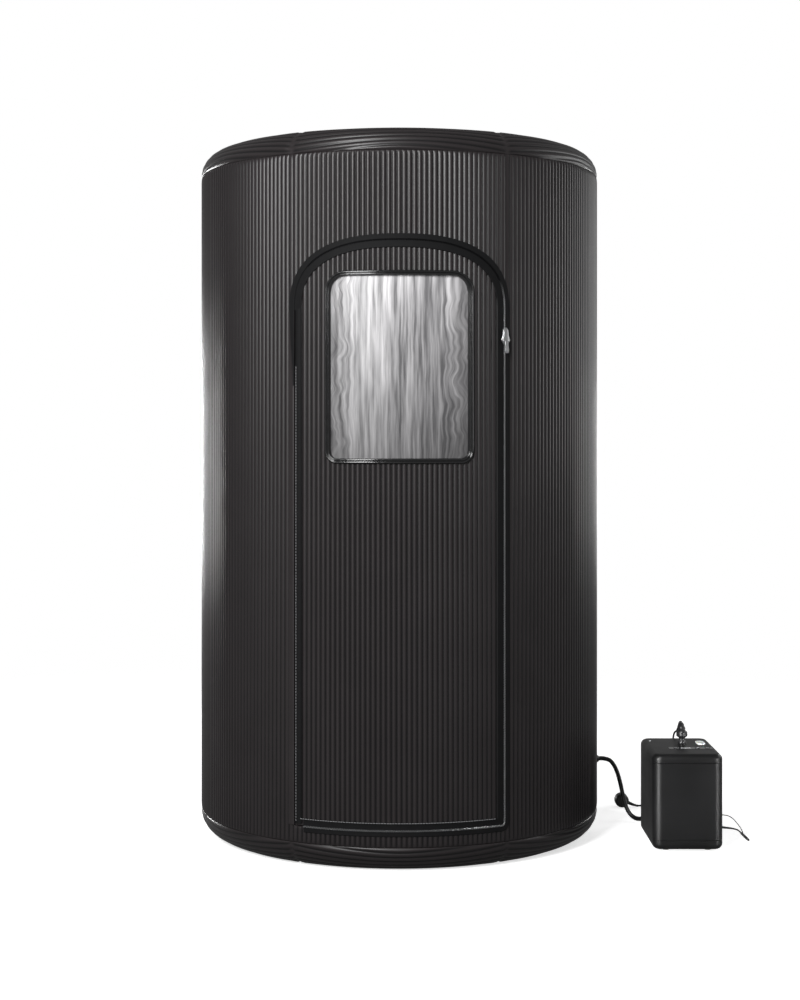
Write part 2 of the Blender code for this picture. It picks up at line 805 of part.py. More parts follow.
def gore_mesh(is_floor):
    """One sixth of the roof pad or floor pad, in straight rows parallel to its rim's middle."""
    mesh = bmesh.new()
    half_angle = math.pi / GORE_COUNT
    side_gap = GAP / 2 / math.cos(half_angle)
    corner_angle = half_angle - math.asin(GAP / 2 / CABIN_RADIUS)
    flat_reach = (CABIN_RADIUS - PAD_THICKNESS) * math.cos(half_angle)
    corner_reach = CABIN_RADIUS * math.cos(corner_angle)
    chords = [GORE_CENTRE_APOTHEM + GAP]
    for k in range(GORE_SHOULDER_ROWS):
        chords.append(flat_reach + (corner_reach - flat_reach) * k / GORE_SHOULDER_ROWS)
    for k in range(GORE_RIM_ROWS):
        chords.append(CABIN_RADIUS * math.cos(corner_angle * (1 - k / GORE_RIM_ROWS)))
    rings = []
    for chord in chords:
        to_mitre = chord * math.tan(half_angle) - side_gap
        to_rim = math.sqrt(CABIN_RADIUS**2 - chord**2)
        reach = min(to_mitre, to_rim)
        ring = [mesh.verts.new(gore_point(chord, reach * share, is_floor)) for share in GORE_ACROSS_SHARES]
        rings.append(ring)
    tip = mesh.verts.new(gore_point(CABIN_RADIUS, 0.0, is_floor))
    steps = len(GORE_ACROSS_SHARES) - 1
    for first, second in zip(rings, rings[1:]):
        for i in range(steps):
            mesh.faces.new((first[i], first[i + 1], second[i + 1], second[i]))
    for i in range(steps):
        mesh.faces.new((rings[-1][i], rings[-1][i + 1], tip))
    inner_z = PAD_THICKNESS if is_floor else CABIN_HEIGHT - PAD_THICKNESS
    hub = []
    for corner_vert in (rings[0][0], rings[0][-1]):
        hub.append(mesh.verts.new((corner_vert.co.x, corner_vert.co.y, inner_z)))
    mesh.faces.new(rings[0] + [hub[1], hub[0]])
    corner = 1 + GORE_SHOULDER_ROWS
    mesh.faces.new([hub[0]] + [ring[0] for ring in rings[: corner + 1]])
    mesh.faces.new([hub[1]] + [ring[-1] for ring in rings[: corner + 1]])
    rim = [ring[0] for ring in rings[corner:]] + [tip] + [ring[-1] for ring in reversed(rings[corner:])]
    mesh.faces.new([hub[0]] + rim + [hub[1]])
    return mesh


def make_pads():
    """Six gores and a six-sided centre piece for the roof, and the same for the floor."""
    for word, is_floor in (("roof", False), ("floor", True)):
        for i in range(GORE_COUNT):
            turn = Matrix.Rotation(2 * math.pi * i / GORE_COUNT, 4, "Z")
            add_object(f"{word}_gore_{i + 1}", gore_mesh(is_floor), BLACK_PVC, turn)
        low = 0.0 if is_floor else CABIN_HEIGHT - PAD_THICKNESS
        corner_radius = GORE_CENTRE_APOTHEM / math.cos(math.pi / GORE_COUNT)
        outlines = []
        for z in (low, low + PAD_THICKNESS):
            angles = [math.pi * 2 * i / GORE_COUNT for i in range(GORE_COUNT)]
            outlines.append([(corner_radius * math.cos(a), corner_radius * math.sin(a), z) for a in angles])
        add_object(f"{word}_centre", stack(outlines), BLACK_PVC)


def make_room_sheets():
    """The silver ceiling sheet and the loose floor mat, cut to the room's outline."""
    radius = ROOM_RADIUS - GAP
    sheets = (
        ("ceiling_liner", WALL_TOP - LINER_THICKNESS, WALL_TOP, SILVER_LINER),
        ("floor_mat", WALL_BOTTOM, WALL_BOTTOM + MAT_THICKNESS, GREY_MAT),
    )
    for name, low, high, finish in sheets:
        outlines = [[on_cabin(a, z, radius) for a in column_arcs(CORE_COLUMNS)] for z in (low, high)]
        add_object(name, stack(outlines), finish)


def doorway_cutter():
    """The doorway's outline through the whole wall."""
    arch = arch_points(DOORWAY_OFFSET)
    tops = {round(arc, 9): z for arc, z in arch}
    arcs = sorted(tops)
    mesh = wall_panel(
        arcs,
        level(CABIN_RADIUS + PANEL_OVERRUN),
        level(ROOM_RADIUS - PANEL_OVERRUN),
        level(DOOR_BOTTOM - DOORWAY_OFFSET),
        lambda arc: tops[arc],
    )
    return add_object("doorway_cutter", mesh)


def window_cutter():
    mesh = wall_panel(
        window_arcs(),
        level(CABIN_RADIUS + PANEL_OVERRUN),
        level(CABIN_RADIUS - DOOR_THICKNESS - PANEL_OVERRUN),
        window_bottom,
        window_top,
    )
    return add_object("window_cutter", mesh)


def make_doorway_trim():
    """The doorway's lining, the wall's half of the zip and the hinge tape."""
    lining = [
        (DOOR_GAP, -WALL_THICKNESS),
        (DOOR_GAP + LINER_THICKNESS, -WALL_THICKNESS),
        (DOOR_GAP + LINER_THICKNESS, -FLUTE_DEPTH),
        (DOOR_GAP, -FLUTE_DEPTH),
    ]
    add_object("doorway_lining", band_on_wall(doorway_outline, lining, closed=True), BLACK_TAPE)
    edge = DOOR_GAP / 2 + GAP / 2
    add_object("zip_tape_wall", band_on_wall(zip_outline, zip_section(edge, 1), closed=False), BLACK_TAPE)
    hinge = [
        (edge, GAP),
        (edge + HINGE_TAPE_WIDTH, GAP),
        (edge + HINGE_TAPE_WIDTH, GAP + TAPE_THICKNESS),
        (edge, GAP + TAPE_THICKNESS),
    ]
    add_object("hinge_tape", band_on_wall(hinge_line, hinge, closed=False), BLACK_TAPE)


def hinge_line(offset):
    return [(-DOOR_HALF - offset, DOOR_BOTTOM), (-DOOR_HALF - offset, DOOR_SPRING)]


def zip_section(edge, side):
    """One half of the zip: a row of teeth along the edge and its tape beside it."""
    return [
        (edge, GAP),
        (edge + side * TAPE_WIDTH, GAP),
        (edge + side * TAPE_WIDTH, GAP + TAPE_THICKNESS),
        (edge + side * TEETH_WIDTH, GAP + TAPE_THICKNESS),
        (edge + side * TEETH_WIDTH, GAP + TEETH_HEIGHT),
        (edge, GAP + TEETH_HEIGHT),
    ]


def leaf_arcs():
    """The leaf's columns: every half flute, with the arch's own steps near the sides."""
    half_pitch = FLUTE_PITCH / 2
    inside = int(DOOR_HALF / half_pitch)
    arcs = [i * half_pitch for i in range(-inside, inside + 1)]
    for arc, _ in arch_points(0.0):
        if min(abs(arc - other) for other in arcs) > half_pitch / 4:
            arcs.append(arc)
    return sorted(arcs)


def make_door(hinge, window_hole):
    """The padded leaf in three layers, its window and its half of the zip."""
    skin = wall_panel(leaf_arcs(), flute_radius, level(SKIN_INNER_RADIUS), level(DOOR_BOTTOM), arch_top)
    cut(add_object("door_skin", skin, BLACK_PVC, parent=hinge), window_hole)
    arcs = [arc for arc, _ in reversed(arch_points(0.0))]
    liner_inner = CABIN_RADIUS - DOOR_THICKNESS
    liner_outer = liner_inner + LINER_THICKNESS
    core = wall_panel(arcs, level(CORE_OUTER_RADIUS), level(liner_outer + GAP), level(DOOR_BOTTOM), arch_top)
    cut(add_object("door_core", core, AIR_CORE, parent=hinge), window_hole)
    liner = wall_panel(arcs, level(liner_outer), level(liner_inner), level(DOOR_BOTTOM), arch_top)
    cut(add_object("door_liner", liner, SILVER_LINER, parent=hinge), window_hole)
    film_outer = CABIN_RADIUS - FILM_DEPTH
    drawn_in = (WINDOW_HALF - GAP) / WINDOW_HALF
    film = wall_panel(
        [arc * drawn_in for arc in window_arcs()],
        level(film_outer),
        level(film_outer - FILM_THICKNESS),
        lambda arc: window_bottom(arc / drawn_in) + GAP,
        lambda arc: window_top(arc / drawn_in) - GAP,
    )
    add_object("window_film", film, CLEAR_FILM, parent=hinge)
    lip = -FLUTE_DEPTH / 2
    welt = [
        (lip, GAP),
        (WELT_WIDTH, GAP),
        (WELT_WIDTH, WELT_HEIGHT / 2),
        (WELT_WIDTH * WELT_CROWN_SHARES[0], WELT_HEIGHT),
        (WELT_WIDTH * WELT_CROWN_SHARES[1], WELT_HEIGHT),
        (lip, WELT_HEIGHT / 2),
    ]
    add_object("window_welt", band_on_wall(window_outline, welt, closed=True), GLOSSY_BLACK, parent=hinge)
    section = zip_section(DOOR_GAP / 2 - GAP / 2, -1)
    tape = band_on_wall(zip_outline, section, closed=False)
    add_object("zip_tape_door", tape, BLACK_TAPE, parent=hinge)


def make_zip_slider(hinge):
    """The slider over the teeth at the leaf's free edge, and the pull that hangs from it."""
    arc = DOOR_HALF + DOOR_GAP / 2
    back = CABIN_RADIUS + GAP + TEETH_HEIGHT + GAP
    bottom = SLIDER_CENTRE - SLIDER_HEIGHT / 2
    place = wall_frame(arc, bottom, back)
    carrier = add_empty("slider_travel", place.to_translation(), place.to_euler(), None)
    carrier.parent = hinge
    carrier.matrix_parent_inverse = hinge.matrix_world.inverted()
    bpy.context.view_layer.update()
    outlines = []
    for y in (0.0, -SLIDER_THICKNESS):
        outlines.append([(x * SLIDER_WIDTH, y, z * SLIDER_HEIGHT) for x, z in SLIDER_OUTLINE_SHARES])
    slider = add_object("zip_slider", stack(outlines), BRIGHT_ZINC, place, carrier)
    pivot_out = SLIDER_THICKNESS + PULL_STANDOFF + PULL_THICKNESS / 2
    lug_reach = pivot_out + PULL_THICKNESS / 2
    for name, side in (("lug_left", -1), ("lug_right", 1)):
        x = side * (PULL_WIDTH / 2 + GAP + LUG_WIDTH / 2)
        size = (LUG_WIDTH, lug_reach, LUG_HEIGHT)
        lug_z = SLIDER_HEIGHT * PIVOT_HEIGHT_SHARE
        lug = add_object(name, block(size, (x, -lug_reach / 2, lug_z)), None, place, carrier)
        join(slider, lug)
    pivot = place @ Matrix.Translation((0.0, -pivot_out, SLIDER_HEIGHT * PIVOT_HEIGHT_SHARE))
    front = PULL_THICKNESS / 2
    outline = (
        (-PULL_WIDTH / 2, front),
        (PULL_WIDTH / 2, front),
        (PULL_WIDTH / 2, -PULL_LENGTH / 2),
        (PULL_END_WIDTH / 2, -PULL_LENGTH),
        (PULL_END_WIDTH / 2, -PULL_LENGTH - PULL_WIDTH / 2),
        (-PULL_END_WIDTH / 2, -PULL_LENGTH - PULL_WIDTH / 2),
        (-PULL_END_WIDTH / 2, -PULL_LENGTH),
        (-PULL_WIDTH / 2, -PULL_LENGTH / 2),
    )
    outlines = [[(x, y, z) for x, z in outline] for y in (front, -front)]
    add_object("zip_pull", stack(outlines), BRIGHT_ZINC, pivot, carrier)


def round_hole(name, place, radius, low, high):
    """A round cutter along a frame's Z."""
    profile = [(0.0, low), (radius, low), (radius, high), (0.0, high)]
    return add_object(name, turned(profile), None, place)


def make_valves():
    """The air valve with its sprung pin and cap, and the relief valve beside it."""
    arc = VALVE_ARC_SHARE * CIRCUMFERENCE
    place = outward_frame(arc, VALVE_Z, CABIN_RADIUS)
    top = GAP + VALVE_FLANGE_THICKNESS
    web_bottom = -VALVE_WEB_DEPTH - VALVE_WEB_THICKNESS
    pin_hole = VALVE_PIN_RADIUS + VALVE_PIN_PLAY
    body = [
        (VALVE_BORE_RADIUS, top),
        (VALVE_FLANGE_RADIUS, top),
        (VALVE_FLANGE_RADIUS, GAP),
        (VALVE_BARREL_RADIUS, GAP),
        (VALVE_BARREL_RADIUS, -VALVE_DEPTH),
        (VALVE_BORE_RADIUS, -VALVE_DEPTH),
        (VALVE_BORE_RADIUS, web_bottom),
        (pin_hole, web_bottom),
        (pin_hole, -VALVE_WEB_DEPTH),
        (VALVE_BORE_RADIUS, -VALVE_WEB_DEPTH),
    ]
    add_object("valve_body", turned(body), BLACK_NYLON, place)
    poppet_top = web_bottom - GAP
    pin = [
        (0.0, -VALVE_PIN_DEPTH),
        (VALVE_PIN_RADIUS, -VALVE_PIN_DEPTH),
        (VALVE_PIN_RADIUS, poppet_top),
        (POPPET_RADIUS, poppet_top),
        (POPPET_RADIUS, poppet_top - POPPET_THICKNESS),
        (0.0, poppet_top - POPPET_THICKNESS),
    ]
    add_object("valve_pin", turned(pin), WHITE_SILICONE, place)
    cap_low = top + GAP
    cap_high = cap_low + CAP_THICKNESS
    spigot = VALVE_BORE_RADIUS - HOLE_CLEARANCE
    cap = [
        (0.0, -CAP_SPIGOT_DEPTH),
        (spigot, -CAP_SPIGOT_DEPTH),
        (spigot, cap_low),
        (VALVE_FLANGE_RADIUS, cap_low),
        (VALVE_FLANGE_RADIUS, cap_high),
        (0.0, cap_high),
    ]
    cap_object = add_object("valve_cap", turned(cap), BLACK_NYLON, place)
    grip_length = 2 * (VALVE_FLANGE_RADIUS - CAP_GRIP_WIDTH)
    grip_size = (grip_length, CAP_GRIP_WIDTH, 2 * CAP_GRIP_HEIGHT)
    join(cap_object, add_object("cap_grip", block(grip_size, (0.0, 0.0, cap_high)), None, place))
    valve_hole = round_hole(
        "valve_hole", place, VALVE_BARREL_RADIUS + HOLE_CLEARANCE, -VALVE_DEPTH - HOLE_CLEARANCE, OVERRUN
    )
    relief_place = outward_frame(arc + RELIEF_SPACING, VALVE_Z, CABIN_RADIUS)
    relief = [
        (RELIEF_BORE_RADIUS, top + RELIEF_DOME_HEIGHT),
        (RELIEF_BARREL_RADIUS, top + RELIEF_DOME_HEIGHT),
        (RELIEF_BARREL_RADIUS + RELIEF_BORE_RADIUS / 2, top),
        (RELIEF_FLANGE_RADIUS, top),
        (RELIEF_FLANGE_RADIUS, GAP),
        (RELIEF_BARREL_RADIUS, GAP),
        (RELIEF_BARREL_RADIUS, -RELIEF_DEPTH),
        (RELIEF_BORE_RADIUS, -RELIEF_DEPTH),
    ]
    add_object("relief_valve", turned(relief), BLACK_NYLON, relief_place)
    relief_hole = round_hole(
        "relief_hole",
        relief_place,
        RELIEF_BARREL_RADIUS + HOLE_CLEARANCE,
        -RELIEF_DEPTH - HOLE_CLEARANCE,
        OVERRUN,
    )
    return valve_hole, relief_hole


def make_steam_port():
    """The fitting through the wall that takes the hose outside and the diffuser inside."""
    place = outward_frame(PORT_ARC_SHARE * CIRCUMFERENCE, PORT_Z, CABIN_RADIUS)
    top = GAP + PORT_FLANGE_THICKNESS
    inner_end = -WALL_THICKNESS - PORT_INNER_LENGTH
    body = [
        (PORT_BORE_RADIUS, top + PORT_NUT_LENGTH),
        (PORT_NUT_RADIUS, top + PORT_NUT_LENGTH),
        (PORT_NUT_RADIUS, top),
        (PORT_FLANGE_RADIUS, top),
        (PORT_FLANGE_RADIUS, GAP),
        (PORT_BARREL_RADIUS, GAP),
        (PORT_BARREL_RADIUS, inner_end),
        (PORT_BORE_RADIUS, inner_end),
    ]
    add_object("steam_port", turned(body), BLACK_NYLON, place)
    cup_inner = PORT_BARREL_RADIUS + GAP
    flat_room = ROOM_RADIUS * math.cos(math.pi / CORE_COLUMNS)
    wall_bulge = ROOM_RADIUS - math.sqrt(flat_room**2 - DIFFUSER_RADIUS**2)
    cup_top = -WALL_THICKNESS - wall_bulge - GAP
    cup_floor = inner_end - DIFFUSER_SLOT_WIDTH
    dome = -WALL_THICKNESS - DIFFUSER_LENGTH - DIFFUSER_SLOT_WIDTH
    cup = [
        (0.0, cup_floor),
        (cup_inner, cup_floor),
        (cup_inner, cup_top),
        (DIFFUSER_RADIUS, cup_top),
        (DIFFUSER_RADIUS, cup_floor),
        (DIFFUSER_RADIUS * DIFFUSER_TIP_SHARE, dome),
        (0.0, dome),
    ]
    diffuser = add_object("steam_diffuser", turned(cup), BLACK_NYLON, place)
    slot_z = (inner_end + cup_floor) / 2
    slot_height = (inner_end - cup_floor) * DIFFUSER_SLOT_SHARE
    for i in range(DIFFUSER_SLOT_COUNT):
        turn = Matrix.Rotation(math.pi * i / DIFFUSER_SLOT_COUNT, 4, "Z")
        size = (2 * DIFFUSER_RADIUS + OVERRUN, DIFFUSER_SLOT_WIDTH, slot_height)
        cut(diffuser, add_object(f"diffuser_slot_{i}", block(size, (0.0, 0.0, slot_z)), None, place @ turn))
    return round_hole(
        "port_hole",
        place,
        PORT_BARREL_RADIUS + HOLE_CLEARANCE,
        -WALL_THICKNESS - OVERRUN,
        OVERRUN,
    )


def steamer_outline(inset, z):
    """The housing's outline drawn in by an inset."""
    return rounded_rectangle(
        STEAMER_WIDTH - 2 * inset,
        STEAMER_DEPTH - 2 * inset,
        STEAMER_CORNER_RADIUS - inset,
        z,
        STEAMER_CORNER_STEPS,
    )


def rounded_edge(z_edge, direction):
    """Outlines over the housing's rounded edge, from the flat face to the upright wall."""
    outlines = []
    for i in range(EDGE_STEPS + 1):
        angle = math.pi / 2 * i / EDGE_STEPS
        inset = STEAMER_EDGE_ROUNDING * (1 - math.sin(angle))
        z = z_edge - direction * STEAMER_EDGE_ROUNDING * (1 - math.cos(angle))
        outlines.append(steamer_outline(inset, z))
    return outlines


def make_steamer():
    """The free-standing steamer: housing, controls, filler, boiler and fittings."""
    steamer = add_empty("steamer", (STEAMER_X, STEAMER_Y, 0.0))
    place = Matrix.Translation((STEAMER_X, STEAMER_Y, 0.0))
    base_low = FOOT_HEIGHT
    base_high = base_low + STEAMER_BASE_HEIGHT
    top_low = STEAMER_HEIGHT - STEAMER_TOP_HEIGHT
    base = stack(rounded_edge(base_low, -1) + [steamer_outline(0.0, base_high)])
    add_object("steamer_base", base, BLACK_SHELL, place, steamer)
    shell_low = base_high + GAP
    shell_high = top_low - GAP
    shell = add_object(
        "steamer_shell",
        stack([steamer_outline(0.0, shell_low), steamer_outline(0.0, shell_high)]),
        BLACK_SHELL,
        place,
        steamer,
    )
    hollow = stack(
        [
            steamer_outline(STEAMER_WALL, shell_low - OVERRUN),
            steamer_outline(STEAMER_WALL, shell_high + OVERRUN),
        ]
    )
    cut(shell, add_object("shell_hollow", hollow, None, place, steamer))
    top = stack([steamer_outline(0.0, top_low)] + list(reversed(rounded_edge(STEAMER_HEIGHT, 1))))
    cover = add_object("steamer_top_cover", top, BLACK_SHELL, place, steamer)
    make_controls(cover, place, steamer)
    make_filler(cover, place, steamer)
    make_feet(place, steamer)
    make_steamer_inside(base_high, place, steamer)
    outlet_place = place @ Matrix.Translation((OUTLET_X, STEAMER_DEPTH / 2, OUTLET_Z))
    outlet_place = outlet_place @ Matrix.Rotation(-math.pi / 2, 4, "X")
    flange_top = GAP + OUTLET_FLANGE_THICKNESS
    inner_end = -STEAMER_WALL - OUTLET_FLANGE_THICKNESS
    outlet = [
        (OUTLET_BORE_RADIUS, OUTLET_LENGTH),
        (OUTLET_RADIUS, OUTLET_LENGTH),
        (OUTLET_RADIUS, flange_top),
        (OUTLET_FLANGE_RADIUS, flange_top),
        (OUTLET_FLANGE_RADIUS, GAP),
        (OUTLET_RADIUS, GAP),
        (OUTLET_RADIUS, inner_end),
        (OUTLET_BORE_RADIUS, inner_end),
    ]
    add_object("steam_outlet", turned(outlet), BLACK_NYLON, outlet_place, steamer)
    hole = round_hole(
        "outlet_hole", outlet_place, OUTLET_RADIUS + HOLE_CLEARANCE, inner_end - OVERRUN, OVERRUN
    )
    cut(shell, hole)
    cut(bpy.data.objects["steamer_base"], hole)
    return place


def make_controls(cover, place, steamer):
    """The glossy control strip and its three push buttons."""
    top = STEAMER_HEIGHT + PANEL_PROUD
    middle = (PANEL_X, PANEL_Y)
    panel = add_object(
        "control_panel",
        plate(PANEL_WIDTH, PANEL_DEPTH, PANEL_RADIUS, top - PANEL_THICKNESS, top, centre=middle),
        GLOSSY_BLACK,
        place,
        steamer,
    )
    pocket_size = (PANEL_WIDTH + 2 * GAP, PANEL_DEPTH + 2 * GAP, PANEL_RADIUS + GAP)
    pocket = plate(*pocket_size, top - PANEL_THICKNESS - GAP, top + OVERRUN, centre=middle)
    cut(cover, add_object("panel_pocket", pocket, None, place, steamer))
    for name, share in zip(BUTTON_NAMES, BUTTON_PLACE_SHARES):
        spot = place @ Matrix.Translation((PANEL_X + share * PANEL_WIDTH, PANEL_Y, top))
        profile = [
            (0.0, BUTTON_PROUD - BUTTON_HEIGHT),
            (BUTTON_RADIUS, BUTTON_PROUD - BUTTON_HEIGHT),
            (BUTTON_RADIUS, BUTTON_PROUD),
            (0.0, BUTTON_PROUD),
        ]
        add_object(name, turned(profile, TURNED_SIDES), BLACK_NYLON, spot, steamer)
        hole_radius = BUTTON_RADIUS + BUTTON_CLEARANCE
        hole = round_hole(f"{name}_hole", spot, hole_radius, -SWITCH_POCKET_DEPTH, OVERRUN)
        cut(panel, hole)
        cut(cover, hole)


def make_filler(cover, place, steamer):
    """The oblong white stopper of the water filler, in its neck through the top cover."""
    middle = (FILLER_X, FILLER_Y)
    lip_radius = FILLER_WIDTH / 2
    top = STEAMER_HEIGHT + GAP
    neck_width = FILLER_WIDTH - 2 * FILLER_LIP
    neck_length = FILLER_LENGTH - 2 * FILLER_LIP
    cap = add_object(
        "filler_stopper",
        plate(FILLER_WIDTH, FILLER_LENGTH, lip_radius, top, top + FILLER_PROUD, centre=middle),
        WHITE_SILICONE,
        place,
        steamer,
    )
    neck_low = STEAMER_HEIGHT - FILLER_NECK_DEPTH
    neck = plate(neck_width, neck_length, neck_width / 2, neck_low, top + FILLER_PROUD / 2, centre=middle)
    join(cap, add_object("stopper_neck", neck, None, place, steamer))
    hole_width = neck_width + 2 * HOLE_CLEARANCE
    hole_length = neck_length + 2 * HOLE_CLEARANCE
    hole = plate(
        hole_width,
        hole_length,
        hole_width / 2,
        STEAMER_HEIGHT - STEAMER_TOP_HEIGHT - OVERRUN,
        STEAMER_HEIGHT + OVERRUN,
        centre=middle,
    )
    cut(cover, add_object("filler_hole", hole, None, place, steamer))


def make_feet(place, steamer):
    """Four rubber feet under the base."""
    reach_x = STEAMER_WIDTH / 2 - FOOT_INSET
    reach_y = STEAMER_DEPTH / 2 - FOOT_INSET
    corners = (
        ("foot_front_left", -1, -1),
        ("foot_front_right", 1, -1),
        ("foot_rear_left", -1, 1),
        ("foot_rear_right", 1, 1),
    )
    for name, side_x, side_y in corners:
        spot = place @ Matrix.Translation((side_x * reach_x, side_y * reach_y, 0.0))
        high = FOOT_HEIGHT - GAP
        profile = [(0.0, 0.0), (FOOT_RADIUS, 0.0), (FOOT_RADIUS, high), (0.0, high)]
        add_object(name, turned(profile, TURNED_SIDES), BLACK_RUBBER, spot, steamer)


def make_steamer_inside(base_high, place, steamer):
    """The boiler with its heating ring, and the circuit board behind the front wall."""
    low = base_high + GAP
    high = low + TANK_HEIGHT
    spot = place @ Matrix.Translation((0.0, TANK_Y, 0.0))
    tank = [
        (0.0, low),
        (TANK_RADIUS, low),
        (TANK_RADIUS, high),
        (TANK_RADIUS - TANK_WALL, high),
        (TANK_RADIUS - TANK_WALL, low + TANK_WALL),
        (0.0, low + TANK_WALL),
    ]
    add_object("boiler_tank", turned(tank), STAINLESS, spot, steamer)
    rod_z = low + TANK_WALL + GAP + ELEMENT_ROD_RADIUS
    rod = []
    for i in range(ELEMENT_ROD_SIDES):
        angle = 2 * math.pi * i / ELEMENT_ROD_SIDES
        radius = ELEMENT_RING_RADIUS + ELEMENT_ROD_RADIUS * math.cos(angle)
        rod.append((radius, rod_z + ELEMENT_ROD_RADIUS * math.sin(angle)))
    add_object("heating_element", turned(rod, TURNED_SIDES), STAINLESS, spot, steamer)
    board_y = -STEAMER_DEPTH / 2 + STEAMER_WALL + GAP + BOARD_THICKNESS / 2
    board = block((BOARD_WIDTH, BOARD_THICKNESS, BOARD_HEIGHT), (0.0, board_y, BOARD_Z))
    add_object("circuit_board", board, GREEN_BOARD, place, steamer)


def make_hose(place):
    """The steam hose: level out of the port, down to the floor and round behind the steamer."""
    port = outward_frame(PORT_ARC_SHARE * CIRCUMFERENCE, PORT_Z, CABIN_RADIUS)
    start_out = 2 * GAP + PORT_FLANGE_THICKNESS + PORT_NUT_LENGTH
    start = port @ Vector((0.0, 0.0, start_out))
    straight = port @ Vector((0.0, 0.0, start_out + HOSE_STRAIGHT))
    end = place @ Vector((OUTLET_X, STEAMER_DEPTH / 2 + OUTLET_LENGTH + GAP, OUTLET_Z))
    before_end = end + Vector((0.0, HOSE_STRAIGHT, 0.0))
    points = smooth_route([start, straight, *HOSE_ROUTE, before_end, end], HOSE_SPACING)
    add_tube("steam_hose", points, HOSE_RADIUS, BLACK_RUBBER)


def coil_points():
    """Two flat layers of turns: in along the floor, up a layer at the middle and out again."""
    points = []
    steps = round(COIL_TURNS_PER_LAYER * COIL_POINTS_PER_TURN)
    total = 2 * steps + COIL_POINTS_PER_TURN // 2
    start = COIL_START_SHARE * 2 * math.pi
    climb = COIL_POINTS_PER_TURN // 2
    for i in range(total + 1):
        angle = start - 2 * math.pi * i / COIL_POINTS_PER_TURN
        if i <= steps:
            inward = i
            layer = 0.0
        elif i >= steps + climb:
            inward = total - i
            layer = 1.0
        else:
            inward = steps
            layer = (i - steps) / climb
        radius = COIL_OUTER_RADIUS - COIL_TURN_SPACING * inward / COIL_POINTS_PER_TURN
        z = CORD_RADIUS + GAP + layer * COIL_TURN_SPACING
        points.append(Vector((COIL_X + radius * math.cos(angle), COIL_Y + radius * math.sin(angle), z)))
    return points


def least_self_gap(points, radius):
    """The least distance between stretches of a tube that aren't neighbours along it."""
    apart = COIL_POINTS_PER_TURN // 2
    least = math.inf
    for i, first in enumerate(points):
        for second in points[i + apart :]:
            least = min(least, (first - second).length - 2 * radius)
    return least


def make_mains_lead(place):
    """Connector, cord down to the floor, stored coil, tail and plug."""
    spine_start = place @ Vector((CONNECTOR_X, CONNECTOR_Y, STEAMER_HEIGHT + GAP))
    length = CONNECTOR_PROFILE[-1][0]
    straight = length * CONNECTOR_STRAIGHT_SHARE
    arc_radius = (length - straight) / (math.pi / 2)
    points = []
    radii = []
    for along, radius in CONNECTOR_PROFILE:
        angle = max(along - straight, 0.0) / arc_radius
        rise = min(along, straight) + arc_radius * math.sin(angle)
        back = arc_radius * (1 - math.cos(angle))
        points.append(spine_start + Vector((0.0, back, rise)))
        radii.append(radius)
    add_object("mains_connector", swept_tube(points, radii, CONNECTOR_SIDES), BLACK_NYLON)
    way_out = (points[-1] - points[-2]).normalized()
    exit_point = points[-1] + way_out * GAP
    coil = coil_points()
    print(f"mains coil: least gap to itself {least_self_gap(coil, CORD_RADIUS) * 1000:.2f} mm")
    lead_in = (coil[0] - coil[1]).normalized()
    coil_entry = coil[0] + lead_in * GAP
    route = [
        exit_point,
        exit_point + way_out * CORD_EXIT_RUN,
        *CORD_ROUTE,
        coil_entry + lead_in * CORD_ENTRY_RUN,
        coil_entry,
    ]
    add_tube("mains_cord", smooth_route(route, CORD_SPACING), CORD_RADIUS, BLACK_RUBBER)
    add_tube("mains_cord_coil", coil, CORD_RADIUS, BLACK_RUBBER, resolution=1)
    plug_place = Matrix.Translation((PLUG_X, PLUG_Y, PLUG_RADIUS + GAP)) @ Matrix.Rotation(
        -math.pi / 2, 4, "X"
    )
    half = PLUG_LENGTH / 2
    front = half * PLUG_FRONT_SHARE
    nose = front + PLUG_NOSE_LENGTH
    body = [
        (0.0, -half),
        (PLUG_RADIUS * PLUG_BACK_SHARE, -half),
        (PLUG_RADIUS, -half * PLUG_BEVEL_SHARE),
        (PLUG_RADIUS, front),
        (PLUG_NOSE_RADIUS, front),
        (PLUG_NOSE_RADIUS, nose),
        (0.0, nose),
    ]
    plug = add_object("mains_plug", turned(body), BLACK_NYLON, plug_place)
    for name, side in (("pin_left", -1), ("pin_right", 1)):
        profile = [(0.0, 0.0), (PIN_RADIUS, 0.0), (PIN_RADIUS, nose + PIN_LENGTH), (0.0, nose + PIN_LENGTH)]
        spot = plug_place @ Matrix.Translation((side * PIN_SPACING / 2, 0.0, 0.0))
        join(plug, add_object(name, turned(profile, PIN_SIDES), None, spot))
    middle = Vector((PLUG_X, PLUG_Y, PLUG_RADIUS + GAP))
    relief_path = [middle + Vector(offset) for offset in RELIEF_ROUTE]
    relief = swept_tube(relief_path, RELIEF_RADII, CONNECTOR_SIDES)
    join(plug, add_object("plug_relief", relief))
    tail_end = relief_path[-1] + Vector((GAP, 0.0, 0.0))
    lead_out = (coil[-1] - coil[-2]).normalized()
    coil_exit = coil[-1] + lead_out * GAP
    tail = [
        coil_exit,
        coil_exit + lead_out * TAIL_EXIT_RUN,
        *TAIL_ROUTE,
        tail_end + Vector((TAIL_ENTRY_RUN, 0.0, 0.0)),
        tail_end,
    ]
    add_tube("mains_cord_tail", smooth_route(tail, CORD_SPACING), CORD_RADIUS, BLACK_RUBBER)


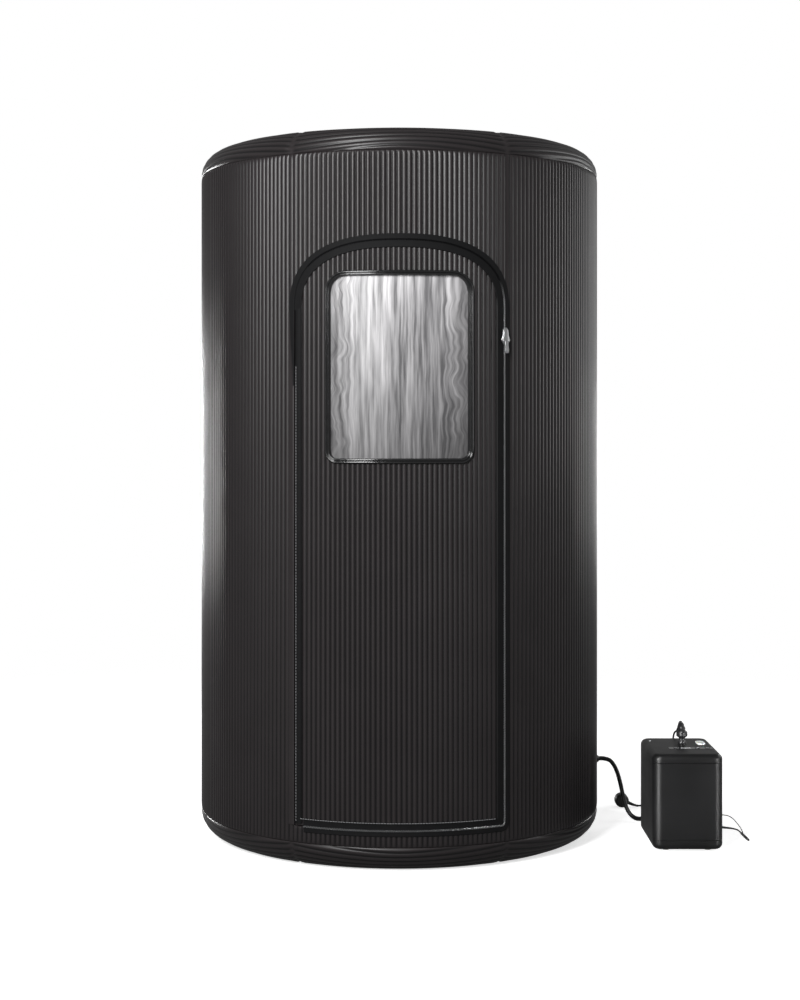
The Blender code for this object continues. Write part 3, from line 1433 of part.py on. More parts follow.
def make_drain(place):
    """The thin drain tube on the right side, and its stopper with the strap moulded to it."""
    side_x = STEAMER_WIDTH / 2 + GAP
    start = place @ Vector((side_x, DRAIN_Y, DRAIN_Z))
    points = smooth_route([start + Vector(offset) for offset in DRAIN_ROUTE], CORD_SPACING / 2)
    shares = []
    for point in points:
        out = min((point.x - start.x) / DRAIN_ROOT_LENGTH, 1.0)
        radius = DRAIN_ROOT_RADIUS + (DRAIN_RADIUS - DRAIN_ROOT_RADIUS) * out
        shares.append(radius / DRAIN_RADIUS)
    add_tube("drain_tube", points, DRAIN_RADIUS, BLACK_RUBBER, resolution=2, shares=shares)
    heading = (points[-1] - points[-2]).normalized()
    neck = points[-1] + heading * GAP
    stopper_path = [neck + heading * STOPPER_LENGTH * share for share in STOPPER_PLACE_SHARES]
    stopper_radii = (STOPPER_TIP_RADIUS, STOPPER_RADIUS, STOPPER_RADIUS, STOPPER_TIP_RADIUS)
    stopper = add_object("drain_stopper", swept_tube(stopper_path, stopper_radii, STOPPER_SIDES), BLACK_RUBBER)
    strap_start = start + Vector((0.0, 0.0, STRAP_RISE))
    strap_route = [strap_start + Vector(offset) for offset in STRAP_ROUTE]
    strap_end = neck + heading * STOPPER_LENGTH * STRAP_JOIN_SHARE
    strap = smooth_route([*strap_route, strap_end], CORD_SPACING / 2)
    strap_radii = [STRAP_RADIUS] * len(strap)
    join(stopper, add_object("stopper_strap", swept_tube(strap, strap_radii, STRAP_SIDES)))


def main():
    clear_scene()
    valve_hole, relief_hole = make_valves()
    port_hole = make_steam_port()
    doorway = doorway_cutter()
    through = (doorway, port_hole)
    make_wall((*through, valve_hole, relief_hole), (*through, valve_hole, relief_hole), through)
    make_pads()
    make_room_sheets()
    make_doorway_trim()
    hinge = add_empty("door_hinge", on_cabin(-DOOR_HALF - DOOR_GAP / 2, 0.0, CABIN_RADIUS))
    make_door(hinge, window_cutter())
    make_zip_slider(hinge)
    place = make_steamer()
    make_hose(place)
    make_mains_lead(place)
    make_drain(place)


main()
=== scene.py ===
"""An upright inflatable steam cabin with its zipped door, its window and its steamer, dressed."""

import math
import bmesh
import bpy
from mathutils import Matrix, Vector


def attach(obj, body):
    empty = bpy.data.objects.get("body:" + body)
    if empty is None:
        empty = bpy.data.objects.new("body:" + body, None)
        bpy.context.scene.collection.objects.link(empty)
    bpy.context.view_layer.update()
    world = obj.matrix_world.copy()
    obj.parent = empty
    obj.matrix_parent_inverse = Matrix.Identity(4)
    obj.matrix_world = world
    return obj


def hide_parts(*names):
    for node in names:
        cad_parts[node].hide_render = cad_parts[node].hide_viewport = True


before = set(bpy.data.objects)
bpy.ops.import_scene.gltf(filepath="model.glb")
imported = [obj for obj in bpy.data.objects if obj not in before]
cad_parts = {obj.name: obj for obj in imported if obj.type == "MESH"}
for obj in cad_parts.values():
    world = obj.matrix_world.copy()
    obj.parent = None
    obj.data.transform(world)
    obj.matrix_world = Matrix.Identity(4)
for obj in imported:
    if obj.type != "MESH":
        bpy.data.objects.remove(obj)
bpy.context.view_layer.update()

# Camera and floor. The cabin was photographed square on to its door, on a white studio floor that
# runs into the backdrop, under one large soft light high on the left and tall ones behind it.
lens = bpy.data.cameras.new("camera")
lens.lens = 63.68
lens.shift_x = 0.0007
lens.shift_y = -0.066
camera = bpy.data.objects.new("camera", lens)
camera.location = (0.0, -4.77, 1.0555)
camera.rotation_euler = (math.pi / 2, 0.0, 0.0)
bpy.context.scene.collection.objects.link(camera)
bpy.context.scene.camera = camera
bpy.context.scene.view_settings.view_transform = "Standard"


def add_node(tree, kind, inputs=None, **settings):
    """One node: settings are its own properties, inputs are values or sockets by input name."""
    made = tree.nodes.new(kind)
    for name, value in settings.items():
        setattr(made, name, value)
    for name, value in (inputs or {}).items():
        if isinstance(value, bpy.types.Node):
            value = value.outputs[0]
        if isinstance(value, bpy.types.NodeSocket):
            tree.links.new(value, made.inputs[name])
        else:
            made.inputs[name].default_value = value
    return made


def maths(tree, operation, *values):
    """One step of arithmetic on numbers or on other nodes."""
    return add_node(tree, "ShaderNodeMath", dict(enumerate(values)), operation=operation)


def paint(hex_code):
    """An sRGB hex colour as linear red, green, blue and alpha."""
    parts = [int(hex_code[i : i + 2], 16) / 255 for i in (0, 2, 4)]
    linear = [c / 12.92 if c <= 0.04045 else ((c + 0.055) / 1.055) ** 2.4 for c in parts]
    return (*linear, 1.0)


def finish_named(name, **shader_values):
    """A new material, its node tree and its shader with these plain values set."""
    made = bpy.data.materials.new(name)
    made.use_nodes = True
    tree = made.node_tree
    shader = tree.nodes["Principled BSDF"]
    for socket, value in shader_values.items():
        shader.inputs[socket.replace("_", " ").title().replace("Ior", "IOR")].default_value = value
    return made, tree, shader


def tinted(shader, share, first, second):
    """Colour a finish from one paint to another by a share from 0 to 1."""
    paints = {0: share, 6: paint(first), 7: paint(second)}
    tone = add_node(shader.id_data, "ShaderNodeMix", paints, data_type="RGBA")
    shader.id_data.links.new(tone.outputs[2], shader.inputs["Base Color"])


def seen_white(tree, mirrored_share):
    """1 to the camera's rays and to rays through glass, and a share of that to glossy ones."""
    rays = add_node(tree, "ShaderNodeLightPath").outputs
    straight = maths(tree, "MAXIMUM", rays["Is Camera Ray"], rays["Is Transmission Ray"])
    return maths(tree, "MAXIMUM", straight, maths(tree, "MULTIPLY", rays["Is Glossy Ray"], mirrored_share))


# Painted studio floor: matt, near white to the camera and a mid grey to the light that falls on it, so
# that it shows the soft shadow under the cabin and hardly lights what stands on it from below.
FLOOR_REACH = 6.0
FADE_FROM = 1.3
FADE_TO = 3.4
FLOOR_GLOW = 0.66
FLOOR_MIRRORED = 0.15
floor_paint, tree, shader = finish_named("matt_white_floor", roughness=0.9, specular_ior_level=0.1)
glow = maths(tree, "MULTIPLY", seen_white(tree, FLOOR_MIRRORED), FLOOR_GLOW)
tree.links.new(glow.outputs[0], shader.inputs["Emission Strength"])
shader.inputs["Emission Color"].default_value = (1.0, 1.0, 1.0, 1.0)
tinted(shader, add_node(tree, "ShaderNodeLightPath").outputs["Is Camera Ray"], "6E6E6E", "F0F0F0")
where = add_node(tree, "ShaderNodeTexCoord")
spread = add_node(tree, "ShaderNodeVectorMath", {0: where.outputs["Object"]}, operation="LENGTH")
limits = {"Value": spread.outputs["Value"], "From Min": FADE_FROM, "From Max": FADE_TO, "To Min": 1.0,
    "To Max": 0.0}
fade = add_node(tree, "ShaderNodeMapRange", limits, interpolation_type="SMOOTHSTEP")
tree.links.new(fade.outputs[0], shader.inputs["Alpha"])
floor_mesh = bpy.data.meshes.new("studio_floor")
corners = [(x * FLOOR_REACH, y * FLOOR_REACH, 0) for x, y in ((-1, -1), (1, -1), (1, 1), (-1, 1))]
floor_mesh.from_pydata(corners, [], [(0, 1, 2, 3)])
floor_mesh.materials.append(floor_paint)
studio_floor = bpy.data.objects.new("studio_floor", floor_mesh)
bpy.context.scene.collection.objects.link(studio_floor)

# White surroundings: seen as plain white, and a low grey light for everything else.
WORLD_LIGHT = 0.18
WORLD_MIRRORED = 0.12
world = bpy.data.worlds.new("white_surroundings")
bpy.context.scene.world = world
world.use_nodes = True
tree = world.node_tree
share = seen_white(tree, WORLD_MIRRORED)
level = add_node(tree, "ShaderNodeMapRange", {"Value": share, "To Min": WORLD_LIGHT, "To Max": 1.0})
tree.nodes["Background"].inputs["Color"].default_value = (1.0, 1.0, 1.0, 1.0)
tree.links.new(level.outputs[0], tree.nodes["Background"].inputs["Strength"])

# Studio lights: the key, a tall strip behind each side, a broad panel at the right, and two small cards
# that draw the front edges of the steamer. Each row: name, place, aim, width, height, power, spread.
for name, place, aim, width, height, power, spread in (
    ("key_soft_box", (-1.5, -3.85, 2.75), (-0.1, -0.3, 1.25), 1.0, 2.2, 215.0, 180.0),
    ("left_strip", (-2.35, 2.6, 0.96), (-0.5, 0.0, 0.98), 0.34, 0.95, 70.0, 180.0),
    ("right_panel", (3.3, 0.9, 1.65), (0.4, 0.0, 1.35), 2.6, 1.5, 36.0, 180.0),
    ("right_strip", (2.35, 2.6, 0.9), (0.5, 0.0, 0.95), 0.36, 0.8, 14.0, 180.0),
    ("left_card", (0.05, -0.95, 0.2), (0.67, -0.25, 0.13), 0.12, 0.32, 0.42, 20.0),
    ("right_card", (1.55, -0.95, 0.2), (0.81, -0.25, 0.13), 0.12, 0.32, 0.34, 20.0),
):
    lamp = bpy.data.lights.new(name, "AREA")
    lamp.shape = "RECTANGLE"
    lamp.size = width
    lamp.size_y = height
    lamp.energy = power
    lamp.spread = math.radians(spread)
    lamp_object = bpy.data.objects.new(name, lamp)
    lamp_object.location = place
    lamp_object.rotation_euler = (Vector(aim) - Vector(place)).to_track_quat("-Z", "Y").to_euler()
    lamp_object.visible_camera = False
    bpy.context.scene.collection.objects.link(lamp_object)

# Mains lead. A light round two-core lead in soft black PVC: out of its moulded connector on top of
# the steamer, down behind it, wound up where it isn't seen, and up to its round plug on the floor.
CORD_RADIUS = 0.0025
LEAD_GAP = 0.0003
CONNECTOR_BASE = (0.738, -0.15, 0.2468)
CONNECTOR_LENGTH = 0.066
CONNECTOR_STRAIGHT = 0.4 * CONNECTOR_LENGTH
COIL_MIDDLE = (0.765, 0.112)
COIL_RADIUS = 0.037
TURN_SPACING = 0.0062
TURNS_PER_LAYER = 2.625
POINTS_PER_TURN = 16
LEAD_ROUTE = (
    (0.738, -0.12, 0.2984), (0.738, -0.1152, 0.2974), (0.738, -0.111, 0.2957), (0.738, -0.1072, 0.2937),
    (0.738, -0.099, 0.2877), (0.738, -0.087, 0.2797), (0.7375, -0.066, 0.266), (0.736, -0.05, 0.261),
    (0.7345, -0.036, 0.251),
    (0.733, -0.029, 0.233), (0.731, -0.028, 0.205), (0.7285, -0.029, 0.17), (0.726, -0.03, 0.135),
    (0.724, -0.03, 0.1), (0.7228, -0.029, 0.068), (0.7222, -0.025, 0.04), (0.7222, -0.015, 0.017),
    (0.7226, 0.002, 0.006), (0.7236, 0.023, 0.0028), (0.725, 0.048, 0.0028), (0.7266, 0.074, 0.0028),
)
TAIL_ROUTE = (
    (0.7435, 0.0742, 0.009), (0.732, 0.076, 0.009), (0.7195, 0.0805, 0.009), (0.709, 0.0895, 0.0084),
    (0.701, 0.102, 0.0066), (0.696, 0.118, 0.0044), (0.6935, 0.136, 0.003), (0.6935, 0.155, 0.0028),
    (0.6965, 0.174, 0.0028), (0.7025, 0.191, 0.0028), (0.7085, 0.204, 0.0028), (0.711, 0.2165, 0.0028),
    (0.7084, 0.2272, 0.0028), (0.7004, 0.2353, 0.0028),
)
PLUG_MIDDLE = Vector((0.629, 0.2385, 0.0198))
RELIEF_ROUTE = ((0, 0, 0), (0.018, 0, -0.0073), (0.029, 0, -0.012), (0.037, 0, -0.0148), (0.043, 0, -0.0164),
    (0.048, 0, -0.0165))


def smooth_route(points, spacing):
    """Points about one spacing apart on a smooth curve through the route's own points."""
    route = [Vector(p) for p in points]
    padded = [2 * route[0] - route[1]] + route + [2 * route[-1] - route[-2]]
    result = []
    for i in range(1, len(padded) - 2):
        before, start, end, after = padded[i - 1 : i + 3]
        steps = max(1, round((end - start).length / spacing))
        for k in range(steps):
            t = k / steps
            bend = 2 * before - 5 * start + 4 * end - after
            twist = 3 * start - before - 3 * end + after
            result.append(0.5 * (2 * start + (end - before) * t + bend * t**2 + twist * t**3))
    result.append(route[-1])
    return result


def cord_curve(name, points, radius, material, shares=None):
    """A round cord on the points as one open curve; shares scales its radius at each of them."""
    curve = bpy.data.curves.new(name, "CURVE")
    curve.dimensions = "3D"
    curve.bevel_depth = radius
    curve.bevel_resolution = 3
    curve.use_fill_caps = True
    curve.materials.append(material)
    line = curve.splines.new("POLY")
    line.points.add(len(points) - 1)
    for i, point in enumerate(points):
        line.points[i].co = (*point, 1.0)
        line.points[i].radius = shares[i] if shares else 1.0
    line.use_smooth = True
    made = bpy.data.objects.new(name, curve)
    bpy.context.scene.collection.objects.link(made)
    return made


def run_length(points):
    """How long a line of points is."""
    return sum((b - a).length for a, b in zip(points, points[1:]))


def ring_faces(mesh, rings, loop=False):
    """Faces between neighbouring rings of vertices, with the ends capped or joined, turned outward."""
    for low, high in list(zip(rings, rings[1:])) + ([(rings[-1], rings[0])] if loop else []):
        for k in range(len(low)):
            ahead = (k + 1) % len(low)
            mesh.faces.new((low[k], low[ahead], high[ahead], high[k]))
    if not loop:
        mesh.faces.new(rings[0][::-1])
        mesh.faces.new(rings[-1])
    bmesh.ops.recalc_face_normals(mesh, faces=mesh.faces)
    return mesh


def turned_route(profile, sides):
    """A round body swept along a path: rows of (point, radius), closed at both ends."""
    mesh = bmesh.new()
    rings = []
    across = Vector((1, 0, 0))
    for i, (point, radius) in enumerate(profile):
        before = profile[max(i - 1, 0)][0]
        after = profile[min(i + 1, len(profile) - 1)][0]
        along = (after - before).normalized()
        across = (across - along * across.dot(along)).normalized()
        up = along.cross(across)
        turns = [2 * math.pi * k / sides for k in range(sides)]
        rings.append([mesh.verts.new(point + radius * (across * math.cos(t) + up * math.sin(t))) for t in turns])
    return ring_faces(mesh, rings)


def finish_piece(name, mesh, material, smooth=True, merge=1e-6):
    """A plain mesh object at the origin, merged, with one material."""
    if merge:
        bmesh.ops.remove_doubles(mesh, verts=mesh.verts, dist=merge)
    data = bpy.data.meshes.new(name)
    mesh.to_mesh(data)
    mesh.free()
    data.materials.append(material)
    if smooth:
        data.shade_smooth()
    made = bpy.data.objects.new(name, data)
    bpy.context.scene.collection.objects.link(made)
    return made


def noise_on(tree, scale, detail):
    """Noise over the piece's own place, from 0 to 1."""
    where = add_node(tree, "ShaderNodeTexCoord").outputs["Object"]
    return add_node(tree, "ShaderNodeTexNoise", {"Vector": where, "Scale": scale, "Detail": detail}).outputs["Fac"]


def embossed(shader, height, strength, distance):
    """Give a finish a fine relief."""
    sizes = {"Height": height, "Strength": strength, "Distance": distance}
    relief = add_node(shader.id_data, "ShaderNodeBump", sizes)
    shader.id_data.links.new(relief.outputs[0], shader.inputs["Normal"])


# Soft extruded PVC: an even satin black that picks up fine dust, a little paler where it is handled.
lead_pvc, tree, shader = finish_named("extruded_pvc_sheath", roughness=0.42)
dust = noise_on(tree, 260.0, 3.0)
tinted(shader, dust, "0E0E0F", "1D1D1E")
embossed(shader, dust, 0.15, 0.0002)

arc_radius = (CONNECTOR_LENGTH - CONNECTOR_STRAIGHT) / (math.pi / 2)


def on_connector(along):
    """A point on the connector's middle line, which rises and then bends back to the rear."""
    angle = max(along - CONNECTOR_STRAIGHT, 0.0) / arc_radius
    rise = min(along, CONNECTOR_STRAIGHT) + arc_radius * math.sin(angle)
    return Vector(CONNECTOR_BASE) + Vector((0.0, arc_radius * (1 - math.cos(angle)), rise))


way_out = (on_connector(CONNECTOR_LENGTH) - on_connector(0.056)).normalized()
lead_exit = on_connector(CONNECTOR_LENGTH) + way_out * LEAD_GAP
coil = []
coil_steps = round(TURNS_PER_LAYER * POINTS_PER_TURN)
climb = POINTS_PER_TURN // 2
for i in range(2 * coil_steps + climb + 1):
    turn = math.pi - 2 * math.pi * i / POINTS_PER_TURN
    inward = min(i, coil_steps, max(2 * coil_steps + climb - i, 0))
    layer = min(max((i - coil_steps) / climb, 0.0), 1.0)
    radius = COIL_RADIUS - TURN_SPACING * inward / POINTS_PER_TURN
    coil.append(Vector((COIL_MIDDLE[0] + radius * math.cos(turn), COIL_MIDDLE[1] + radius * math.sin(turn),
        CORD_RADIUS + LEAD_GAP + layer * TURN_SPACING)))
lead_in = (coil[0] - coil[1]).normalized()
lead_out = (coil[-1] - coil[-2]).normalized()
relief_end = PLUG_MIDDLE + Vector(RELIEF_ROUTE[-1])
tail_end = relief_end + Vector((LEAD_GAP, 0.0, 0.0))
lead_points = smooth_route([lead_exit, *LEAD_ROUTE, coil[0] + lead_in * 0.016, coil[0]], 0.005)
lead_points += coil[1:]
lead_points += smooth_route([coil[-1], coil[-1] + lead_out * 0.006, *TAIL_ROUTE,
    tail_end + Vector((0.012, 0.0, 0.0)), tail_end], 0.005)[1:]
mains_lead = cord_curve("mains_lead", lead_points, CORD_RADIUS, lead_pvc)
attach(mains_lead, "cabin")
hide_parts("mains_cord", "mains_cord_coil", "mains_cord_tail")

# Round moulded plug: glass-filled nylon with a fine spark-eroded grain, ribbed to grip, two brass
# pins plated with nickel, and a ribbed tapered relief where the lead leaves its side.
plug_nylon, tree, shader = finish_named("moulded_black_nylon", roughness=0.38)
grain = noise_on(tree, 900.0, 2.0)
tinted(shader, grain, "111112", "222224")
embossed(shader, grain, 0.25, 0.0002)
plated_pin, tree, shader = finish_named("nickel_plated_brass", roughness=0.22, metallic=1.0)
draw_lines = noise_on(tree, 500.0, 2.0)
tinted(shader, draw_lines, "B9B6AE", "D8D5CE")

PLUG_PROFILE = (
    (-0.017, 0.0), (-0.017, 0.013), (-0.0166, 0.0152), (-0.0155, 0.0164), (-0.012, 0.0192), (-0.0105, 0.0195),
    (-0.0085, 0.0195), (-0.008, 0.0189), (-0.007, 0.0189), (-0.0065, 0.0195), (-0.0045, 0.0195), (-0.004, 0.0189),
    (-0.003, 0.0189), (-0.0025, 0.0195), (-0.0005, 0.0195), (0.0, 0.0189), (0.001, 0.0189), (0.0015, 0.0195),
    (0.0095, 0.0195), (0.0102, 0.019), (0.0102, 0.0172), (0.0108, 0.017), (0.0155, 0.0168), (0.0162, 0.016),
    (0.0162, 0.0),
)
mesh = turned_route([(PLUG_MIDDLE + Vector((0.0, along, 0.0)), max(radius, 0.0001))
    for along, radius in PLUG_PROFILE], 48)
mains_plug = finish_piece("round_plug", mesh, plug_nylon)
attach(mains_plug, "cabin")
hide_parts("mains_plug")
relief_line = smooth_route([PLUG_MIDDLE + Vector(p) for p in RELIEF_ROUTE], 0.0008)
relief_line = [p for p in relief_line if (p - PLUG_MIDDLE).length > 0.0165]
relief_run = run_length(relief_line)
rings = []
travelled = 0.0
for i, point in enumerate(relief_line):
    travelled += (point - relief_line[max(i - 1, 0)]).length
    taper = 0.0056 - 0.0027 * travelled / relief_run
    groove = 0.0006 if 0.12 < travelled / relief_run < 0.9 and (travelled / 0.0036) % 1 > 0.55 else 0.0
    rings.append((point, taper - groove))
plug_relief = finish_piece("plug_relief", turned_route(rings, 20), lead_pvc)
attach(plug_relief, "cabin")
for side in (-1, 1):
    pin_base = PLUG_MIDDLE + Vector((side * 0.0095, 0.0155, 0.0))
    profile = ((0.0, 0.002), (0.017, 0.002), (0.0186, 0.0017), (0.0195, 0.001), (0.0197, 0.0002))
    pin = finish_piece(f"plug_pin_{side + 2}", turned_route([(pin_base + Vector((0, along, 0)), radius)
        for along, radius in profile], 16), plated_pin)
    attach(pin, "cabin")

# Steam hose. Black silicone rubber over braid, heat-proof, pushed on to the barbs at both ends and
# held by a spring clip: level out of the cabin's port, down to the floor and in behind the steamer.
HOSE_RADIUS = 0.006
CABIN_RADIUS = 0.53
PORT_TURN = 0.2778 * 2 * math.pi
PORT_Z = 0.163
port_out = Vector((math.sin(PORT_TURN), -math.cos(PORT_TURN), 0.0))
port_middle = port_out * CABIN_RADIUS + Vector((0.0, 0.0, PORT_Z))
hose_start = port_middle + port_out * 0.0266
hose_end = Vector((0.672, -0.0307, 0.036))
HOSE_ROUTE = (
    (0.579, 0.101, 0.1575), (0.59, 0.098, 0.1455), (0.5975, 0.093, 0.13), (0.603, 0.0875, 0.112),
    (0.6075, 0.082, 0.092), (0.6115, 0.076, 0.071), (0.616, 0.07, 0.05), (0.6225, 0.0635, 0.031),
    (0.632, 0.056, 0.0165), (0.644, 0.046, 0.0095), (0.656, 0.033, 0.011), (0.665, 0.018, 0.0185),
)
hose_rubber, tree, shader = finish_named("braided_silicone_hose", roughness=0.34)
braid = noise_on(tree, 420.0, 3.0)
tinted(shader, braid, "0B0B0C", "1A1A1B")
embossed(shader, braid, 0.3, 0.0003)
hose_points = smooth_route([hose_start, hose_start + port_out * 0.012, *HOSE_ROUTE,
    hose_end + Vector((0.0, 0.012, 0.0)), hose_end], 0.006)
steam_hose = cord_curve("steam_hose_line", hose_points, HOSE_RADIUS, hose_rubber)
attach(steam_hose, "cabin")
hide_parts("steam_hose")

# Drain tube. A thin soft tube from a spigot low on the steamer's right side, with a push-in stopper
# whose thin strap is tied to the housing just above, so that it can't be lost.
DRAIN_START = Vector((0.8193, -0.2, 0.04))
DRAIN_ROUTE = ((0, 0, 0), (0.01, 0, 0), (0.0195, 0, -0.001), (0.033, 0, -0.0025), (0.045, 0, -0.0045),
    (0.054, 0, -0.0072), (0.059, 0, -0.0105), (0.063, 0, -0.0142))
STRAP_ROUTE = ((0, 0, 0), (0.01, 0, 0.0006), (0.0206, 0, 0), (0.0306, 0, -0.002), (0.0423, 0, -0.009),
    (0.0536, 0, -0.0212), (0.064, 0, -0.036))
drain_points = smooth_route([DRAIN_START + Vector(p) for p in DRAIN_ROUTE], 0.0035)
drain_shares = [(0.0038 - 0.0018 * min((p.x - DRAIN_START.x) / 0.046, 1.0)) / 0.002 for p in drain_points]
drain_tube = cord_curve("drain_line", drain_points, 0.002, lead_pvc, drain_shares)
heading = (drain_points[-1] - drain_points[-2]).normalized()
neck = drain_points[-1] + heading * LEAD_GAP
STOPPER_PROFILE = ((0.0, 0.0024), (0.0015, 0.003), (0.003, 0.0036), (0.005, 0.0036), (0.0056, 0.0031),
    (0.007, 0.0031), (0.0076, 0.0036), (0.0096, 0.0036), (0.0102, 0.0031), (0.0116, 0.0031), (0.0122, 0.0036),
    (0.0225, 0.0035), (0.0265, 0.0029), (0.029, 0.0024), (0.0298, 0.0012))
drain_stopper = finish_piece("ribbed_stopper", turned_route([(neck + heading * along, radius)
    for along, radius in STOPPER_PROFILE], 20), lead_pvc)
strap_points = smooth_route([DRAIN_START + Vector((0.0, 0.0, 0.031)) + Vector(p)
    for p in STRAP_ROUTE] + [neck + heading * 0.01], 0.003)
stopper_strap = cord_curve("stopper_strap", strap_points, 0.0012, lead_pvc)
for piece in (drain_tube, drain_stopper, stopper_strap):
    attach(piece, "cabin")
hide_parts("drain_tube")
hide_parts("drain_stopper")

# Cabin wall. Two coated skins held apart by thousands of threads and blown hard: the black outer one
# is drawn in at every row of threads, so it stands in fine upright flutes whose tops round off at
# the seams. It is cut away round the doorway and bound there.
CABIN_HEIGHT = 1.8
PAD_THICKNESS = 0.0615
WALL_BOTTOM = 0.0618
WALL_TOP = 1.7382
WALL_INNER = 0.43
AROUND = 2 * math.pi * CABIN_RADIUS
FLUTE_COUNT = 264
FLUTE_PITCH = AROUND / FLUTE_COUNT
FLUTE_DEPTH = 0.0027
FLUTE_PARTS = (0.0, 0.2, 0.36, 0.46, 0.5, 0.54, 0.64, 0.8)
DOOR_HALF = 0.265
DOOR_BOTTOM = 0.105
DOOR_SPRING = 1.357
DOOR_RISE = 0.164
ARCH_POWER = 2 / 2.5


def new_tree(name, **values):
    """An empty geometry tree with one named input for each of its sizes, and its two ends."""
    tree = bpy.data.node_groups.new(name, "GeometryNodeTree")
    tree.interface.new_socket("Geometry", in_out="INPUT", socket_type="NodeSocketGeometry")
    for label, kind in values.items():
        tree.interface.new_socket(label.replace("_", " ").title(), in_out="INPUT", socket_type=f"NodeSocket{kind}")
    tree.interface.new_socket("Geometry", in_out="OUTPUT", socket_type="NodeSocketGeometry")
    return tree, add_node(tree, "NodeGroupInput"), add_node(tree, "NodeGroupOutput")


def grow(name, base, tree, **values):
    """Run a geometry tree on a base mesh, and keep what it makes as a plain mesh piece."""
    cut = bpy.data.objects.new(name + "_cut", base)
    bpy.context.scene.collection.objects.link(cut)
    shaping = cut.modifiers.new("shaping", "NODES")
    shaping.node_group = tree
    for item in tree.interface.items_tree:
        label = item.name.replace(" ", "_").lower()
        if item.item_type == "SOCKET" and item.in_out == "INPUT" and label in values:
            shaping[item.identifier] = values[label]
    plain = bpy.data.meshes.new_from_object(cut.evaluated_get(bpy.context.evaluated_depsgraph_get()))
    plain.name = name
    bpy.data.objects.remove(cut)
    made = bpy.data.objects.new(name, plain)
    bpy.context.scene.collection.objects.link(made)
    return made


def arithmetic(tree, given, values, *steps):
    """Math nodes from steps of (result, operation, operands), each operand a number or an earlier name."""
    values = {**{socket.name.lower(): socket for socket in given.outputs}, **values}
    for result, operation, *operands in steps:
        values[result] = maths(tree, operation, *(values.get(operand, operand) for operand in operands))
    return values


def stored(tree, name):
    """A value that the flat cut holds at each of its points."""
    return add_node(tree, "GeometryNodeInputNamedAttribute", {"Name": name}, data_type="FLOAT")


def finish_tree(tree, given, out, shape):
    """Join a tree's copies, put its material on them, and end it."""
    real = add_node(tree, "GeometryNodeRealizeInstances", {"Geometry": shape})
    dressed = add_node(tree, "GeometryNodeSetMaterial", {"Geometry": real, "Material": given.outputs["Material"]})
    tree.links.new(dressed.outputs[0], out.inputs[0])


def with_shares(mesh, **shares):
    """A flat cut with these values stored at its points."""
    for name, values in shares.items():
        mesh.attributes.new(name, "FLOAT", "POINT").data.foreach_set("value", values)
    return mesh


# The tree that rolls a flat cut (along the wall, outward, up) round the cabin, and draws its flutes in.
roll_tree, given, out = new_tree("rolled_and_fluted", cabin_radius="Float", flute_count="Float",
    flute_depth="Float", material="Material")
flat = add_node(roll_tree, "ShaderNodeSeparateXYZ", {0: add_node(roll_tree, "GeometryNodeInputPosition")}).outputs
sums = arithmetic(
    roll_tree, given, {"along": flat["X"], "outward": flat["Y"], "share": stored(roll_tree, "flute")},
    ("turn", "DIVIDE", "along", "cabin radius"), ("half flutes", "MULTIPLY", "flute count", 0.5),
    ("wave", "MULTIPLY", "turn", "half flutes"), ("wave", "COSINE", "wave"), ("wave", "ABSOLUTE", "wave"),
    ("wave", "SUBTRACT", 1.0, "wave"), ("drawn in", "MULTIPLY", "wave", "share"),
    ("depth", "MULTIPLY", "drawn in", "flute depth"),
    ("radius", "ADD", "cabin radius", "outward"), ("radius", "SUBTRACT", "radius", "depth"),
    ("sine", "SINE", "turn"), ("cosine", "COSINE", "turn"), ("x", "MULTIPLY", "radius", "sine"),
    ("y", "MULTIPLY", "radius", "cosine"), ("y", "SUBTRACT", 0.0, "y"),
)
rolled = add_node(roll_tree, "ShaderNodeCombineXYZ", {0: sums["x"], 1: sums["y"], 2: flat["Z"]})
# Keep how far each point is drawn in; the vinyl paints shade into the valleys by it.
kept = add_node(roll_tree, "GeometryNodeStoreNamedAttribute",
    {"Geometry": given.outputs["Geometry"], "Name": "valley", "Value": sums["drawn in"]}, data_type="FLOAT",
    domain="POINT")
bent = add_node(roll_tree, "GeometryNodeSetPosition", {"Geometry": kept, "Position": rolled})
finish_tree(roll_tree, given, out, add_node(roll_tree, "GeometryNodeSetShadeSmooth", {"Geometry": bent}))


def rolled_piece(name, cut, flute_depth, material):
    """A flat cut rolled round the cabin, with flutes of this depth drawn in."""
    return grow(name, cut, roll_tree, cabin_radius=CABIN_RADIUS, flute_count=float(FLUTE_COUNT),
        flute_depth=flute_depth, material=material)


def arch_height(arc, offset):
    """How high the doorway's edge, moved outward by offset, stands over this arc."""
    across = min(abs(arc) / (DOOR_HALF + offset), 1.0)
    return DOOR_SPRING + (DOOR_RISE + offset) * (1 - across ** (2 / ARCH_POWER)) ** (ARCH_POWER / 2)


def flute_columns(first, last):
    """Arcs from one to the other, closest together in the valleys of the flutes."""
    arcs = [first]
    for k in range(math.floor(first / FLUTE_PITCH), math.ceil(last / FLUTE_PITCH) + 1):
        arcs += [(k + part) * FLUTE_PITCH
            for part in FLUTE_PARTS if first + 0.0002 < (k + part) * FLUTE_PITCH < last - 0.0002]
    return arcs + [last]


def tapered_rows(low, high, tip, drop, middle_rows):
    """Rows up one column: (z, how deep its flutes are, how far it is pulled in), rounded at both ends."""
    rows = [(low + tip * t, math.sqrt(1 - (1 - t) ** 2), drop * (1 - math.sqrt(1 - (1 - t) ** 2)))
        for t in (0.0, 0.06, 0.18, 0.36, 0.6)]
    rows += [(low + tip + (high - low - 2 * tip) * k / middle_rows, 1.0, 0.0) for k in range(middle_rows + 1)]
    return rows + [(high - (z - low), share, pulled) for z, share, pulled in rows[4::-1]]


